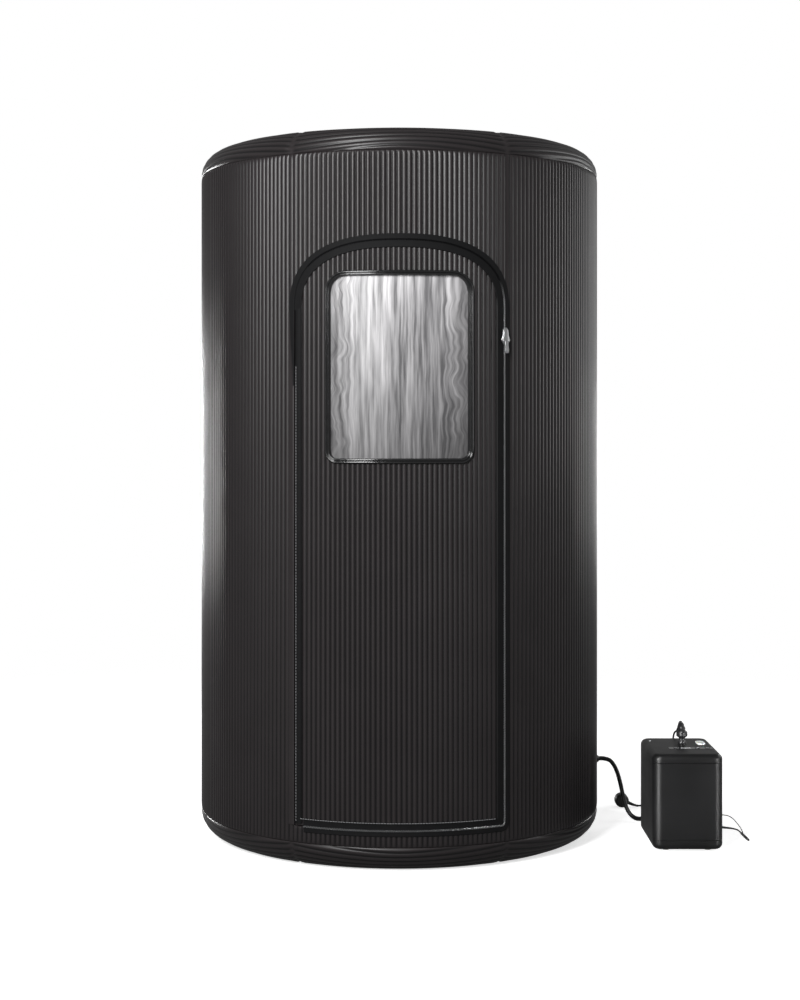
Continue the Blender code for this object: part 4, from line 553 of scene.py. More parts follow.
def flat_cut(grids):
    """A flat mesh from grids of columns of (arc, outward, z, flute share), wound to face outwards."""
    mesh = bpy.data.meshes.new("flat_cut")
    points, faces, shares = [], [], []
    for grid in grids:
        start, tall = len(points), len(grid[0])
        for column in grid:
            points += [row[:3] for row in column]
            shares += [row[3] for row in column]
        for i in range(len(grid) - 1):
            for k in range(tall - 1):
                a = start + i * tall + k
                faces.append((a, a + tall, a + tall + 1, a + 1))
    mesh.from_pydata(points, [], faces)
    return with_shares(mesh, flute=shares)


def roughened(shader, share, low, high):
    """Let a finish's roughness run from low to high by a share from 0 to 1."""
    rough = add_node(shader.id_data, "ShaderNodeMapRange", {"Value": share, "To Min": low, "To Max": high})
    shader.id_data.links.new(rough.outputs[0], shader.inputs["Roughness"])


# Calendered vinyl on woven polyester: satin black, drawn tight over the threads, its tone wandering in soft
# clouds, with the weave's faint grain as fine relief and roughness. Painted shade darkens the valleys to near
# black.
outer_vinyl, tree, shader = finish_named("calendered_vinyl_on_polyester", roughness=0.36, specular_ior_level=0.38)
sunk = add_node(tree, "ShaderNodeAttribute", attribute_name="valley")
cloudy = noise_on(tree, 9.0, 4.0)
fine = noise_on(tree, 640.0, 2.0)
rubbed = add_node(tree, "ShaderNodeMix", {0: cloudy, 6: paint("211D1E"), 7: paint("2D292A")}, data_type="RGBA")
# Painted shade: the colour runs to near black by how far each point is drawn into a valley.
painted_valley_shade = add_node(tree, "ShaderNodeMix", {0: sunk.outputs["Fac"], 6: rubbed.outputs[2], 7: paint("040405")},
    data_type="RGBA")
tree.links.new(painted_valley_shade.outputs[2], shader.inputs["Base Color"])
roughened(shader, fine, 0.3, 0.46)
embossed(shader, fine, 0.12, 0.0004)

SEAM_TIP = 0.016
SEAM_DROP = 0.004
EDGE_TIP = 0.014
EDGE_DROP = 0.0016
SKIN_EDGE = 0.0045
EDGE_WIDTH = 0.0115
EDGE_STEPS = (0.0, 0.05, 0.16, 0.34, 0.6, 1.0)
SEAM_ROWS = 12
wall_rows = tapered_rows(WALL_BOTTOM, WALL_TOP, SEAM_TIP, SEAM_DROP, SEAM_ROWS)
outside = [[(arc, -pulled, z, share) for z, share, pulled in wall_rows]
    for arc in flute_columns(DOOR_HALF + 0.016, AROUND - DOOR_HALF - 0.016)]
grids = [outside]
for side in (-1, 1):
    near = DOOR_HALF + SKIN_EDGE
    strip = sorted(side * (near + EDGE_WIDTH * t) for t in EDGE_STEPS)
    columns = []
    for arc in strip:
        t = (abs(arc) - near) / EDGE_WIDTH
        soft = math.sqrt(max(1 - (1 - t) ** 2, 0.0))
        drawn = EDGE_DROP * (1 - soft)
        columns.append([(arc, -max(pulled, drawn * min(1.0, (z - WALL_BOTTOM) / 0.03)), z, share * soft)
            for z, share, pulled in wall_rows])
    grids.append(columns)
inside = flute_columns(-DOOR_HALF - SKIN_EDGE, DOOR_HALF + SKIN_EDGE)
below, above = [], []
for arc in inside:
    top = DOOR_BOTTOM - SKIN_EDGE
    rows = tapered_rows(WALL_BOTTOM, top, 0.01, SEAM_DROP, 2)
    below.append([(arc, -(pulled if z < (WALL_BOTTOM + top) / 2 else pulled * EDGE_DROP / SEAM_DROP), z, share)
        for z, share, pulled in rows])
    low = arch_height(arc, SKIN_EDGE)
    rows = tapered_rows(low, WALL_TOP, EDGE_TIP, SEAM_DROP, 6)
    above.append([(arc, -(pulled if z > (WALL_TOP + low) / 2 else pulled * EDGE_DROP / SEAM_DROP), z, share)
        for z, share, pulled in rows])
grids += [below, above]
wall_skin = rolled_piece("fluted_wall_skin", flat_cut(grids), FLUTE_DEPTH, outer_vinyl)
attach(wall_skin, "cabin")
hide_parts("wall_skin", "wall_core")

# Wall liner. The wall's inner skin: silver laminated foil on polyester, drawn tight over the same
# threads so it is faintly ribbed, welded to the binding round the doorway.
liner_foil, tree, shader = finish_named("aluminised_polyester_film", roughness=0.34, metallic=0.75)
where = add_node(tree, "ShaderNodeTexCoord")
crinkle = add_node(tree, "ShaderNodeTexVoronoi", {"Vector": where.outputs["Object"], "Scale": 45.0},
    distance="EUCLIDEAN", feature="SMOOTH_F1")
mottle = noise_on(tree, 70.0, 4.0)
tinted(shader, mottle, "9EA1A5", "C9CCD0")
roughened(shader, mottle, 0.24, 0.5)
embossed(shader, crinkle.outputs["Distance"], 0.35, 0.002)


def turned_inward(obj):
    """Turn a piece's faces round, for a sheet that is seen from the cabin's inside."""
    mesh = bmesh.new()
    mesh.from_mesh(obj.data)
    bmesh.ops.reverse_faces(mesh, faces=mesh.faces)
    mesh.to_mesh(obj.data)
    mesh.free()


LINER_EDGE = 0.004
inner_drop = WALL_INNER - CABIN_RADIUS
grids = [[[(arc, inner_drop, z, 1.0) for z in (WALL_BOTTOM, 0.6, 1.2, WALL_TOP)]
    for arc in flute_columns(DOOR_HALF + LINER_EDGE, AROUND - DOOR_HALF - LINER_EDGE)]]
inside = flute_columns(-DOOR_HALF - LINER_EDGE, DOOR_HALF + LINER_EDGE)
grids.append([[(arc, inner_drop, z, 1.0) for z in (WALL_BOTTOM, DOOR_BOTTOM - LINER_EDGE)] for arc in inside])
grids.append([[(arc, inner_drop, z, 1.0) for z in (arch_height(arc, LINER_EDGE), WALL_TOP)] for arc in inside])
wall_liner = rolled_piece("silver_wall_liner", flat_cut(grids), -0.0012, liner_foil)
turned_inward(wall_liner)
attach(wall_liner, "cabin")
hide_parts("wall_liner")

# Roof and floor pads. Each is blown from six wedges welded along mitres to a six-sided middle, with
# ribs across every wedge; the rim rounds over into a sunk seam, where it is welded to the wall.
RIB_PITCH = 0.0127
RIB_DEPTH = 0.0028
RIB_PARTS = 6
RIM_FOLLOW = 0.8
GORE_COUNT = 6
CENTRE_APOTHEM = 0.05
CENTRE_ROWS = (CENTRE_APOTHEM, 0.0485, 0.046, 0.042, 0.036, 0.02, 0.0)
MITRE_TIP = 0.009
MITRE_DROP = 0.0034

pad_tree, given, out = new_tree("ribbed_gores", pad_radius="Float", pad_thickness="Float", rib_pitch="Float",
    rib_depth="Float", gore_count="Int", outer_face="Float", upward="Float", material="Material")
place = add_node(pad_tree, "GeometryNodeInputPosition")
flat = add_node(pad_tree, "ShaderNodeSeparateXYZ", {0: place}).outputs
reach = add_node(pad_tree, "ShaderNodeVectorMath", {0: place}, operation="LENGTH").outputs["Value"]
sums = arithmetic(
    pad_tree, given,
    {"reach": reach, "across": flat["X"], "chord": flat["Y"], "index": add_node(pad_tree, "GeometryNodeInputIndex"),
     **{name: stored(pad_tree, name) for name in ("from_seam", "flute", "pinch")}},
    ("flat radius", "SUBTRACT", "pad radius", "pad thickness"), ("over", "SUBTRACT", "reach", "flat radius"),
    ("lean", "DIVIDE", "over", "pad thickness"), ("lean", "MAXIMUM", "lean", 0.0), ("lean", "MINIMUM", "lean", 1.0),
    ("rise", "MULTIPLY", "lean", "lean"), ("rise", "SUBTRACT", 1.0, "rise"), ("rise", "SQRT", "rise"),
    ("drop", "SUBTRACT", 1.0, "rise"), ("drop", "MULTIPLY", "drop", "pad thickness"),
    ("ribs", "DIVIDE", "from_seam", "rib pitch"), ("ribs", "MULTIPLY", "ribs", math.pi), ("ribs", "SINE", "ribs"),
    ("ribs", "ABSOLUTE", "ribs"), ("ribs", "SUBTRACT", 1.0, "ribs"), ("drawn in", "MULTIPLY", "ribs", "flute"),
    ("sunk", "MULTIPLY", "drawn in", "rib depth"), ("sunk", "ADD", "sunk", "pinch"),
    ("sideways", "MULTIPLY", "sunk", "lean"), ("safe reach", "MAXIMUM", "reach", 0.001),
    ("shrink", "DIVIDE", "sideways", "safe reach"), ("shrink", "SUBTRACT", 1.0, "shrink"),
    ("x", "MULTIPLY", "across", "shrink"), ("y", "MULTIPLY", "chord", "shrink"), ("y", "SUBTRACT", 0.0, "y"),
    ("lowered", "MULTIPLY", "sunk", "rise"), ("lowered", "ADD", "lowered", "drop"),
    ("lowered", "MULTIPLY", "lowered", "upward"), ("z", "SUBTRACT", "outer face", "lowered"),
    ("step", "DIVIDE", 2 * math.pi, "gore count"), ("turn", "MULTIPLY", "index", "step"),
)
moved = add_node(pad_tree, "ShaderNodeCombineXYZ", {0: sums["x"], 1: sums["y"], 2: sums["z"]})
# Keep how far each point is drawn in; the vinyl paints shade into the rib valleys by it.
kept = add_node(pad_tree, "GeometryNodeStoreNamedAttribute",
    {"Geometry": given.outputs["Geometry"], "Name": "valley", "Value": sums["drawn in"]}, data_type="FLOAT",
    domain="POINT")
blown = add_node(pad_tree, "GeometryNodeSetPosition", {"Geometry": kept, "Position": moved})
facing = add_node(pad_tree, "ShaderNodeCombineXYZ", {2: sums["turn"]})
spots = add_node(pad_tree, "GeometryNodePoints", {"Count": given.outputs["Gore Count"]})
spots = add_node(pad_tree, "GeometryNodeSetPosition", {"Geometry": spots, "Position": (0.0, 0.0, 0.0)})
around = add_node(pad_tree, "GeometryNodeInstanceOnPoints",
    {"Points": spots, "Instance": blown, "Rotation": facing})
real = add_node(pad_tree, "GeometryNodeRealizeInstances", {"Geometry": around})
welded = add_node(pad_tree, "GeometryNodeMergeByDistance", {"Geometry": real, "Distance": 0.00004})
finish_tree(pad_tree, given, out, add_node(pad_tree, "GeometryNodeSetShadeSmooth", {"Geometry": welded}))


def soft_edge(distance, tip):
    """How full a welded edge stands at this distance from its weld, from 0 to 1."""
    t = min(max(distance / tip, 0.0), 1.0)
    return math.sqrt(1 - (1 - t) ** 2)


def rib_level(radius, turn):
    """How far from the seam a point of the pad counts: ribs run straight across its flat and bend to
    follow the round rim."""
    flat_reach = CABIN_RADIUS - PAD_THICKNESS
    ways = []
    for reach in (radius, radius * math.cos(turn)):
        lean = min(max((reach - flat_reach) / PAD_THICKNESS, 0.0), 1.0)
        ways.append(PAD_THICKNESS * math.acos(lean) + max(flat_reach - reach, 0.0))
    t = min(max((radius - 0.3) / 0.15, 0.0), 1.0)
    follow = RIM_FOLLOW * t * t * (3 - 2 * t)
    return follow * ways[0] + (1 - follow) * ways[1]


def gore_cut(is_roof):
    """One wedge's flat cut, in rows that follow its ribs from the middle out to the rim."""
    flat_reach = CABIN_RADIUS - PAD_THICKNESS
    half_angle = math.pi / GORE_COUNT
    steps = [k / 16 - 1 for k in range(17)]
    turns = [half_angle * (math.sin(math.pi / 2 * t) * 0.4 + t * 0.6) for t in steps]
    turns += [-t for t in turns[-2::-1]]
    centre_level = rib_level(CENTRE_APOTHEM, 0.0)
    steps = math.floor(centre_level / RIB_PITCH * RIB_PARTS)
    levels = [k * RIB_PITCH / RIB_PARTS for k in range(steps + 1)]
    points, shares, pinches, seams = [], [], [], []
    for turn in turns:
        column = []
        for level in levels:
            low, high = 0.0, CABIN_RADIUS
            for _ in range(40):
                middle = (low + high) / 2
                if rib_level(middle, turn) > level:
                    low = middle
                else:
                    high = middle
            column.append((low, level))
        column += [(chord / math.cos(turn), 0.0) for chord in CENTRE_ROWS]
        for radius, level in column:
            across, chord = radius * math.sin(turn), radius * math.cos(turn)
            mitre = radius * math.sin(half_angle - abs(turn))
            over = min(max((radius - flat_reach) / PAD_THICKNESS, 0.0), 1.0)
            seam = PAD_THICKNESS * math.acos(over) + max(flat_reach - radius, 0.0)
            ribbed = chord > CENTRE_APOTHEM + 1e-6
            edge = min(soft_edge(mitre, MITRE_TIP) if ribbed else 1.0, soft_edge(seam, 0.01),
                soft_edge(abs(chord - CENTRE_APOTHEM), MITRE_TIP))
            points.append((across, chord, 0.0))
            pinches.append(MITRE_DROP * (1 - edge))
            shares.append(edge if ribbed else 0.0)
            seams.append(level)
    tall = len(points) // len(turns)
    faces = []
    for i in range(len(turns) - 1):
        for k in range(tall - 1):
            a = i * tall + k
            ring = (a, a + tall, a + tall + 1, a + 1)
            faces.append(ring if is_roof else ring[::-1])
    mesh = bpy.data.meshes.new("gore_cut")
    mesh.from_pydata(points, [], faces)
    return with_shares(mesh, flute=shares, pinch=pinches, from_seam=seams)


for name, is_roof, face, nodes in (
    ("ribbed_roof_pad", True, CABIN_HEIGHT, [f"roof_gore_{k}" for k in range(1, 7)] + ["roof_centre"]),
    ("ribbed_floor_pad", False, 0.0, [f"floor_gore_{k}" for k in range(1, 7)] + ["floor_centre"]),
):
    pad = grow(name, gore_cut(is_roof), pad_tree, pad_radius=CABIN_RADIUS, pad_thickness=PAD_THICKNESS,
        rib_pitch=RIB_PITCH, rib_depth=RIB_DEPTH, gore_count=GORE_COUNT, outer_face=face,
        upward=1.0 if is_roof else -1.0, material=outer_vinyl)
    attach(pad, "cabin")
    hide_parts(*nodes)

# Binding and liner sheets inside: a vinyl binding turned through the wall round the doorway, a silver
# ceiling sheet, and a loose non-slip mat of grey foam-backed cloth on the floor.
EDGE_CORNER = 0.006
SIDE_STEPS = 60
ARCH_STEPS = 110
ARCH_SAMPLES = 3000
ROUND_SIDES = 96
SHEET_RADIUS = 0.4297
MAT_RADIUS = 0.429


def edge_line(offset, arch_share=1.0, start=-DOOR_HALF, closed=True):
    """The doorway's outline moved out by offset: bottom, right side, arch, and left side if closed."""
    half, bottom = DOOR_HALF + offset, DOOR_BOTTOM - offset
    bend = max(EDGE_CORNER + offset, 0.001)
    first = -half if closed else start
    line = [(first + (half - bend - first) * k / SIDE_STEPS, bottom) for k in range(SIDE_STEPS)]
    line += [(half - bend + bend * math.sin(t), bottom + bend - bend * math.cos(t))
        for t in (math.pi / 2 * k / 6 for k in range(7))]
    line += [(half, bottom + bend + (DOOR_SPRING - bottom - bend) * k / SIDE_STEPS) for k in range(1, SIDE_STEPS)]

    def on_arch(t, wide, tall):
        """Where the arch is, this far round it from its right foot."""
        side = math.copysign(abs(math.cos(t)) ** ARCH_POWER, math.cos(t))
        return wide * side, tall * max(math.sin(t), 0.0) ** ARCH_POWER

    dense = [math.pi * (k / ARCH_SAMPLES) for k in range(ARCH_SAMPLES + 1)]
    runs = [0.0]
    for a, b in zip(dense, dense[1:]):
        runs.append(runs[-1] + math.dist(on_arch(a, DOOR_HALF, DOOR_RISE), on_arch(b, DOOR_HALF, DOOR_RISE)))
    k = 0
    for i in range(ARCH_STEPS + 1):
        while k < ARCH_SAMPLES and runs[k] < runs[-1] * i / ARCH_STEPS:
            k += 1
        if i > ARCH_STEPS * arch_share:
            break
        across, above = on_arch(dense[k], half, DOOR_RISE + offset)
        line.append((across, DOOR_SPRING + above))
    if closed:
        line += [(-half, DOOR_SPRING + (bottom - DOOR_SPRING) * k / SIDE_STEPS) for k in range(1, SIDE_STEPS)]
    return line


def band(name, lines, material, closed, flip=False, body="cabin"):
    """A strip between matching outlines, each (points, outward), rolled on to the cabin."""
    count = len(lines[0][0])
    mesh = bpy.data.meshes.new(name + "_cut")
    points = [(arc, outward, z) for line, outward in lines for arc, z in line]
    faces = []
    for i in range(len(lines) - 1):
        for k in range(count if closed else count - 1):
            a, b = i * count + k, i * count + (k + 1) % count
            ring = (a, b, b + count, a + count)
            faces.append(ring[::-1] if flip else ring)
    mesh.from_pydata(points, [], faces)
    made = rolled_piece(name, with_shares(mesh, flute=[0.0] * len(points)), 0.0, material)
    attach(made, body)
    return made


doorway_binding = band("doorway_binding", [(edge_line(0.0042), inner_drop), (edge_line(0.003), inner_drop),
    (edge_line(0.003), -0.0032), (edge_line(0.0036), -0.0026), (edge_line(0.0045), -0.0028)], outer_vinyl, True,
    flip=True)
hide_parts("doorway_lining")
binding_run = sum(math.dist(a, b) for a, b in zip(edge_line(0.003), edge_line(0.003)[1:] + edge_line(0.003)[:1]))


def widen(mesh, rings):
    """Upward faces from each ring of a round sheet to the next one out."""
    for low, high in zip(rings, rings[1:]):
        for k in range(len(low)):
            ahead = (k + 1) % len(low)
            mesh.faces.new((low[k], high[k], high[ahead], low[ahead]))


def round_sheet(radius, z, upward):
    """A round sheet, drawn as rings from a small middle out to its edge."""
    mesh = bmesh.new()
    rings = []
    for share in (0.02, 0.1, 0.2, 0.3, 0.4, 0.5, 0.6, 0.7, 0.8, 0.9, 0.97, 0.99, 1.0):
        turns = [2 * math.pi * k / ROUND_SIDES for k in range(ROUND_SIDES)]
        rings.append([mesh.verts.new((radius * share * math.cos(t), radius * share * math.sin(t), z))
            for t in turns])
    widen(mesh, rings)
    mesh.faces.new(rings[0])
    if not upward:
        bmesh.ops.reverse_faces(mesh, faces=mesh.faces)
    return mesh


ceiling = finish_piece("silver_ceiling_sheet", round_sheet(SHEET_RADIUS, 1.737, False), liner_foil)
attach(ceiling, "cabin")
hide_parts("ceiling_liner")

mat_cloth, tree, shader = finish_named("foam_backed_nonslip_cloth", roughness=0.85)
where = add_node(tree, "ShaderNodeTexCoord")
knots = add_node(tree, "ShaderNodeTexVoronoi", {"Vector": where.outputs["Object"], "Scale": 260.0})
fleck = noise_on(tree, 40.0, 4.0)
tinted(shader, fleck, "34363A", "4A4D52")
embossed(shader, knots.outputs["Distance"], 0.5, 0.001)
mesh = round_sheet(MAT_RADIUS, 0.0676, True)
rim = [v for v in mesh.verts if math.hypot(v.co.x, v.co.y) > MAT_RADIUS - 0.0002]
loop = sorted(rim, key=lambda v: math.atan2(v.co.y, v.co.x))
rows = [loop]
for radius, z in ((0.4296, 0.0668), (0.4297, 0.0648), (0.4294, 0.0624)):
    rows.append([mesh.verts.new((radius * v.co.x / MAT_RADIUS, radius * v.co.y / MAT_RADIUS, z)) for v in loop])
widen(mesh, rows)
mat = finish_piece("nonslip_mat", mesh, mat_cloth)
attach(mat, "cabin")
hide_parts("floor_mat")

# Door leaf. The same fluted skin over a firm pad, cut out for the window, with its edge bound in
# smooth vinyl and a silver sheet inside. It hangs on a welded tape at its left.
LEAF_BACK = -0.032
WINDOW_HALF = 0.1695
WINDOW_TOP = 1.436
WINDOW_BOTTOM = 0.997
WINDOW_TOP_BEND = 0.038
WINDOW_BOTTOM_BEND = 0.018


def window_end(arc, offset, at_top):
    """How high or low the window's edge, moved outward by offset, stands over this arc."""
    bend = (WINDOW_TOP_BEND if at_top else WINDOW_BOTTOM_BEND) + offset
    over = min(max(abs(arc) - (WINDOW_HALF + offset - bend), 0.0), bend)
    fall = bend - math.sqrt(bend**2 - over**2)
    return WINDOW_TOP + offset - fall if at_top else WINDOW_BOTTOM - offset + fall


def leaf_grids(outward, tip, drop, hole, edge):
    """The leaf's flat cut at one depth: both sides of the window, then under and over it."""
    half, low = DOOR_HALF - edge, DOOR_BOTTOM + edge
    gap = WINDOW_HALF + hole
    made = []
    for first, last in ((-half, -gap), (gap, half)):
        near = sorted(math.copysign(half - EDGE_WIDTH * t, first + last) for t in EDGE_STEPS)
        arcs = near + flute_columns(near[-1], last)[1:] if first < 0 else flute_columns(first, near[0])[:-1] + near
        columns = []
        for arc in arcs:
            soft = soft_edge(half - abs(arc), EDGE_WIDTH)
            top = max(arch_height(arc, -edge), low + 0.05)
            columns.append([(arc, outward - max(pulled, drop * (1 - soft)), z, share * soft)
                for z, share, pulled in tapered_rows(low, top, tip, drop, 8)])
        made.append(columns)
    arcs = flute_columns(-gap, gap)
    made.append([[(arc, outward - (pulled if z < 0.5 else 0.0), z, share if z < 0.5 else 1.0)
        for z, share, pulled in tapered_rows(low, window_end(arc, hole, False), tip, drop, 6)] for arc in arcs])
    made.append([[(arc, outward - (pulled if z > 1.48 else 0.0), z, share if z > 1.48 else 1.0)
        for z, share, pulled in tapered_rows(window_end(arc, hole, True), arch_height(arc, -edge), tip, drop, 3)]
        for arc in arcs])
    return made


def joined(name, parts):
    """Several meshes made one piece, with the first one's materials and places kept."""
    bpy.ops.object.select_all(action="DESELECT")
    for part in parts:
        part.select_set(True)
    bpy.context.view_layer.objects.active = parts[0]
    bpy.ops.object.join()
    parts[0].name = name
    return parts[0]


leaf_cut = flat_cut(leaf_grids(0.0, 0.012, EDGE_DROP, 0.003, 0.0002))
leaf_skin = rolled_piece("fluted_door_leaf", leaf_cut, FLUTE_DEPTH, outer_vinyl)
edge_profile = ((0.0002, -EDGE_DROP), (0.0, -0.003), (0.0, -0.016), (0.0, -0.029), (0.0012, -0.0312),
    (0.004, LEAF_BACK))
leaf_edge = band("leaf_edge", [(edge_line(-inset), outward) for inset, outward in edge_profile], outer_vinyl, True,
    flip=True, body="door")
door_leaf = joined("fluted_door_leaf", [leaf_skin, leaf_edge])
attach(door_leaf, "door")
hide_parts("door_skin", "door_core")
sheet_cut = flat_cut(leaf_grids(LEAF_BACK, 0.012, 0.0, 0.003, 0.004))
inner_sheet = rolled_piece("silver_door_sheet", sheet_cut, -0.0008, liner_foil)
turned_inward(inner_sheet)
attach(inner_sheet, "door")
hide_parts("door_liner")

# Window. One sheet of clear plasticised vinyl, rolled up in its box for so long that it has set in
# upright waves, strong at both sides; welded behind a glossy double-ribbed welt.
FILM_STEPS = 120
FILM_ROWS = 40
FILM_EDGE = 0.0003
FILM_OUTWARD = -0.0036
FILM_RIPPLE = 0.0007
film_vinyl, tree, shader = finish_named("clear_plasticised_vinyl", roughness=0.34, ior=1.53, coat_weight=0.15,
    coat_roughness=0.2, alpha=0.96)
# The film's colour is painted: pale silver streaks stand in for reflections in the wavy film and sway into waves at
# both sides.
where = add_node(tree, "ShaderNodeTexCoord")
spot = add_node(tree, "ShaderNodeSeparateXYZ", {0: where.outputs["Object"]})
wander = add_node(tree, "ShaderNodeMapping", {"Vector": where.outputs["Object"], "Scale": (7.0, 0.0, 13.0)})
wander = add_node(tree, "ShaderNodeTexNoise", {"Vector": wander, "Scale": 1.0, "Detail": 2.0, "Roughness": 0.4})
sway = maths(tree, "SUBTRACT", wander.outputs["Fac"], 0.5)
aside = maths(tree, "ABSOLUTE", spot.outputs["X"])
strength = add_node(tree, "ShaderNodeMapRange", {"Value": aside, "From Min": 0.1, "From Max": 0.145,
    "To Min": 0.006, "To Max": 0.1})
sway = maths(tree, "MULTIPLY", sway, strength)
across = maths(tree, "ADD", spot.outputs["X"], sway)
tall = maths(tree, "MULTIPLY", spot.outputs["Z"], 0.05)
streak_place = add_node(tree, "ShaderNodeCombineXYZ", {0: across, 2: tall})
streaks = add_node(tree, "ShaderNodeTexNoise", {"Vector": streak_place, "Scale": 120.0, "Detail": 3.0,
    "Roughness": 0.55})
broad = add_node(tree, "ShaderNodeTexNoise", {"Vector": streak_place, "Scale": 24.0, "Detail": 2.0})
mixed = add_node(tree, "ShaderNodeMix", {0: 0.4, 2: streaks.outputs["Fac"], 3: broad.outputs["Fac"]},
    data_type="FLOAT")
sharp = add_node(tree, "ShaderNodeMapRange", {"Value": mixed, "From Min": 0.38, "From Max": 0.62})
# Painted light and shade: the film is lighter towards the top, darker towards the bottom and darker at both sides.
painted_side_shade = add_node(tree, "ShaderNodeMapRange", {"Value": aside, "From Min": 0.115, "From Max": 0.15,
    "To Min": 1.0, "To Max": 0.55})
height = add_node(tree, "ShaderNodeMapRange", {"Value": spot.outputs["Z"], "From Min": WINDOW_BOTTOM,
    "From Max": WINDOW_TOP, "To Min": 0.31, "To Max": 1.0})
height = maths(tree, "MULTIPLY", height, painted_side_shade)
silver = add_node(tree, "ShaderNodeMix", {0: sharp, 6: paint("747375"), 7: paint("E6E4E6")}, data_type="RGBA")
lit = add_node(tree, "ShaderNodeMix", {0: 1.0, 6: silver.outputs[2], 7: height}, data_type="RGBA",
    blend_type="MULTIPLY")
tree.links.new(lit.outputs[2], shader.inputs["Base Color"])
embossed(shader, mixed, 0.5, 0.003)
columns = []
for k in range(FILM_STEPS + 1):
    arc = (WINDOW_HALF - FILM_EDGE) * (2 * k / FILM_STEPS - 1)
    low, high = window_end(arc, -FILM_EDGE, False), window_end(arc, -FILM_EDGE, True)
    column = []
    for i in range(FILM_ROWS + 1):
        z = low + (high - low) * i / FILM_ROWS
        edge = soft_edge(min(WINDOW_HALF - abs(arc), z - low, high - z), 0.03)
        wave = math.sin(arc * 190 + 2.2 * math.sin(z * 15 + 30 * arc))
        wave += 0.5 * math.sin(arc * 420 + 1.3 * math.sin(z * 23))
        at_sides = 0.25 + 0.75 * max(abs(arc) / WINDOW_HALF - 0.55, 0.0) / 0.45
        column.append((arc, FILM_OUTWARD - FILM_RIPPLE * edge * wave * at_sides, z, 0.0))
    columns.append(column)
window_film = rolled_piece("wavy_window_film", flat_cut([columns]), 0.0, film_vinyl)
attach(window_film, "door")
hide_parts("window_film")


def window_line(offset):
    """The window's outline moved out by offset, anticlockwise from the right side's foot."""
    def straight(start, end):
        """Points between two corners."""
        way = (end[0] - start[0], end[1] - start[1])
        return [(start[0] + way[0] * k / 24, start[1] + way[1] * k / 24) for k in range(1, 24)]

    line = []
    for side, upper, quarter in ((1, True, 0), (-1, True, 1), (-1, False, 2), (1, False, 3)):
        bend = WINDOW_TOP_BEND if upper else WINDOW_BOTTOM_BEND
        x, z = side * (WINDOW_HALF - bend), WINDOW_TOP - bend if upper else WINDOW_BOTTOM + bend
        turns = [(quarter + k / 14) * math.pi / 2 for k in range(15)]
        corner = [(x + (bend + offset) * math.cos(t), z + (bend + offset) * math.sin(t)) for t in turns]
        line += straight(line[-1], corner[0]) + corner if line else corner
    return line + straight(line[-1], line[0])


# Extruded gloss vinyl: a hard wet shine along both ribs, with a dull weld line between them.
welt_vinyl, tree, shader = finish_named("extruded_gloss_vinyl", roughness=0.16, coat_weight=0.5,
    coat_roughness=0.08)
scuff = noise_on(tree, 90.0, 4.0)
tinted(shader, scuff, "0A0A0B", "151516")
roughened(shader, scuff, 0.1, 0.26)
WELT_PROFILE = ((-0.0003, -0.03), (-0.0003, -0.0036), (0.0002, 0.001), (0.0012, 0.004), (0.003, 0.0056),
    (0.0046, 0.0054), (0.006, 0.004), (0.0066, 0.003), (0.0072, 0.004), (0.0086, 0.0056), (0.0102, 0.0058),
    (0.012, 0.0044), (0.0131, 0.002), (0.0135, -0.0004), (0.0134, -0.003))
window_welt = band("ribbed_window_welt", [(window_line(offset), outward) for offset, outward in WELT_PROFILE],
    welt_vinyl, True, flip=True, body="door")
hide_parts("window_welt")

# Zip. Two coated tapes with cast teeth along their meeting edges: along the bottom from near the
# hinge, up the right side and over the arch. Their outer edges are folded into a narrow rib.
TOOTH_PITCH = 0.0042
ZIP_START = -0.24
ZIP_ARCH_SHARE = 0.84
zip_tape, tree, shader = finish_named("coated_woven_zip_tape", roughness=0.7, specular_ior_level=0.15)
where = add_node(tree, "ShaderNodeTexCoord")
rib = add_node(tree, "ShaderNodeTexWave", {"Vector": where.outputs["Object"], "Scale": 160.0, "Distortion": 1.0},
    bands_direction="Z")
haze = noise_on(tree, 60.0, 4.0)
tinted(shader, haze, "0B0B0C", "141415")
embossed(shader, rib.outputs["Fac"], 0.2, 0.0003)
WALL_TAPE = ((0.0017, 0.0003), (0.0017, 0.0015), (0.0045, 0.0015), (0.0132, 0.0012), (0.014, 0.0013),
    (0.015, 0.0012), (0.0158, 0.0007), (0.0161, 0.0001))
LEAF_TAPE = ((-0.0178, 0.0), (-0.0174, 0.0007), (-0.0166, 0.0012), (-0.0158, 0.0013), (-0.0152, 0.0012),
    (-0.0015, 0.0015), (0.0013, 0.0015), (0.0013, 0.0003))
tape_lines = []
for offset, outward in WALL_TAPE:
    tail = [(-DOOR_HALF - offset * (1 - k / 12 * 0.5), DOOR_SPRING - 0.184 * k / 12) for k in range(1, 13)]
    tape_lines.append((edge_line(offset, start=ZIP_START, closed=False) + tail, outward))
wall_tape = band("wall_zip_tape", tape_lines, zip_tape, False, flip=True)
leaf_lines = [(edge_line(offset, start=ZIP_START, closed=False), outward) for offset, outward in LEAF_TAPE]
leaf_tape = band("leaf_zip_tape", leaf_lines, zip_tape, False, flip=True, body="door")

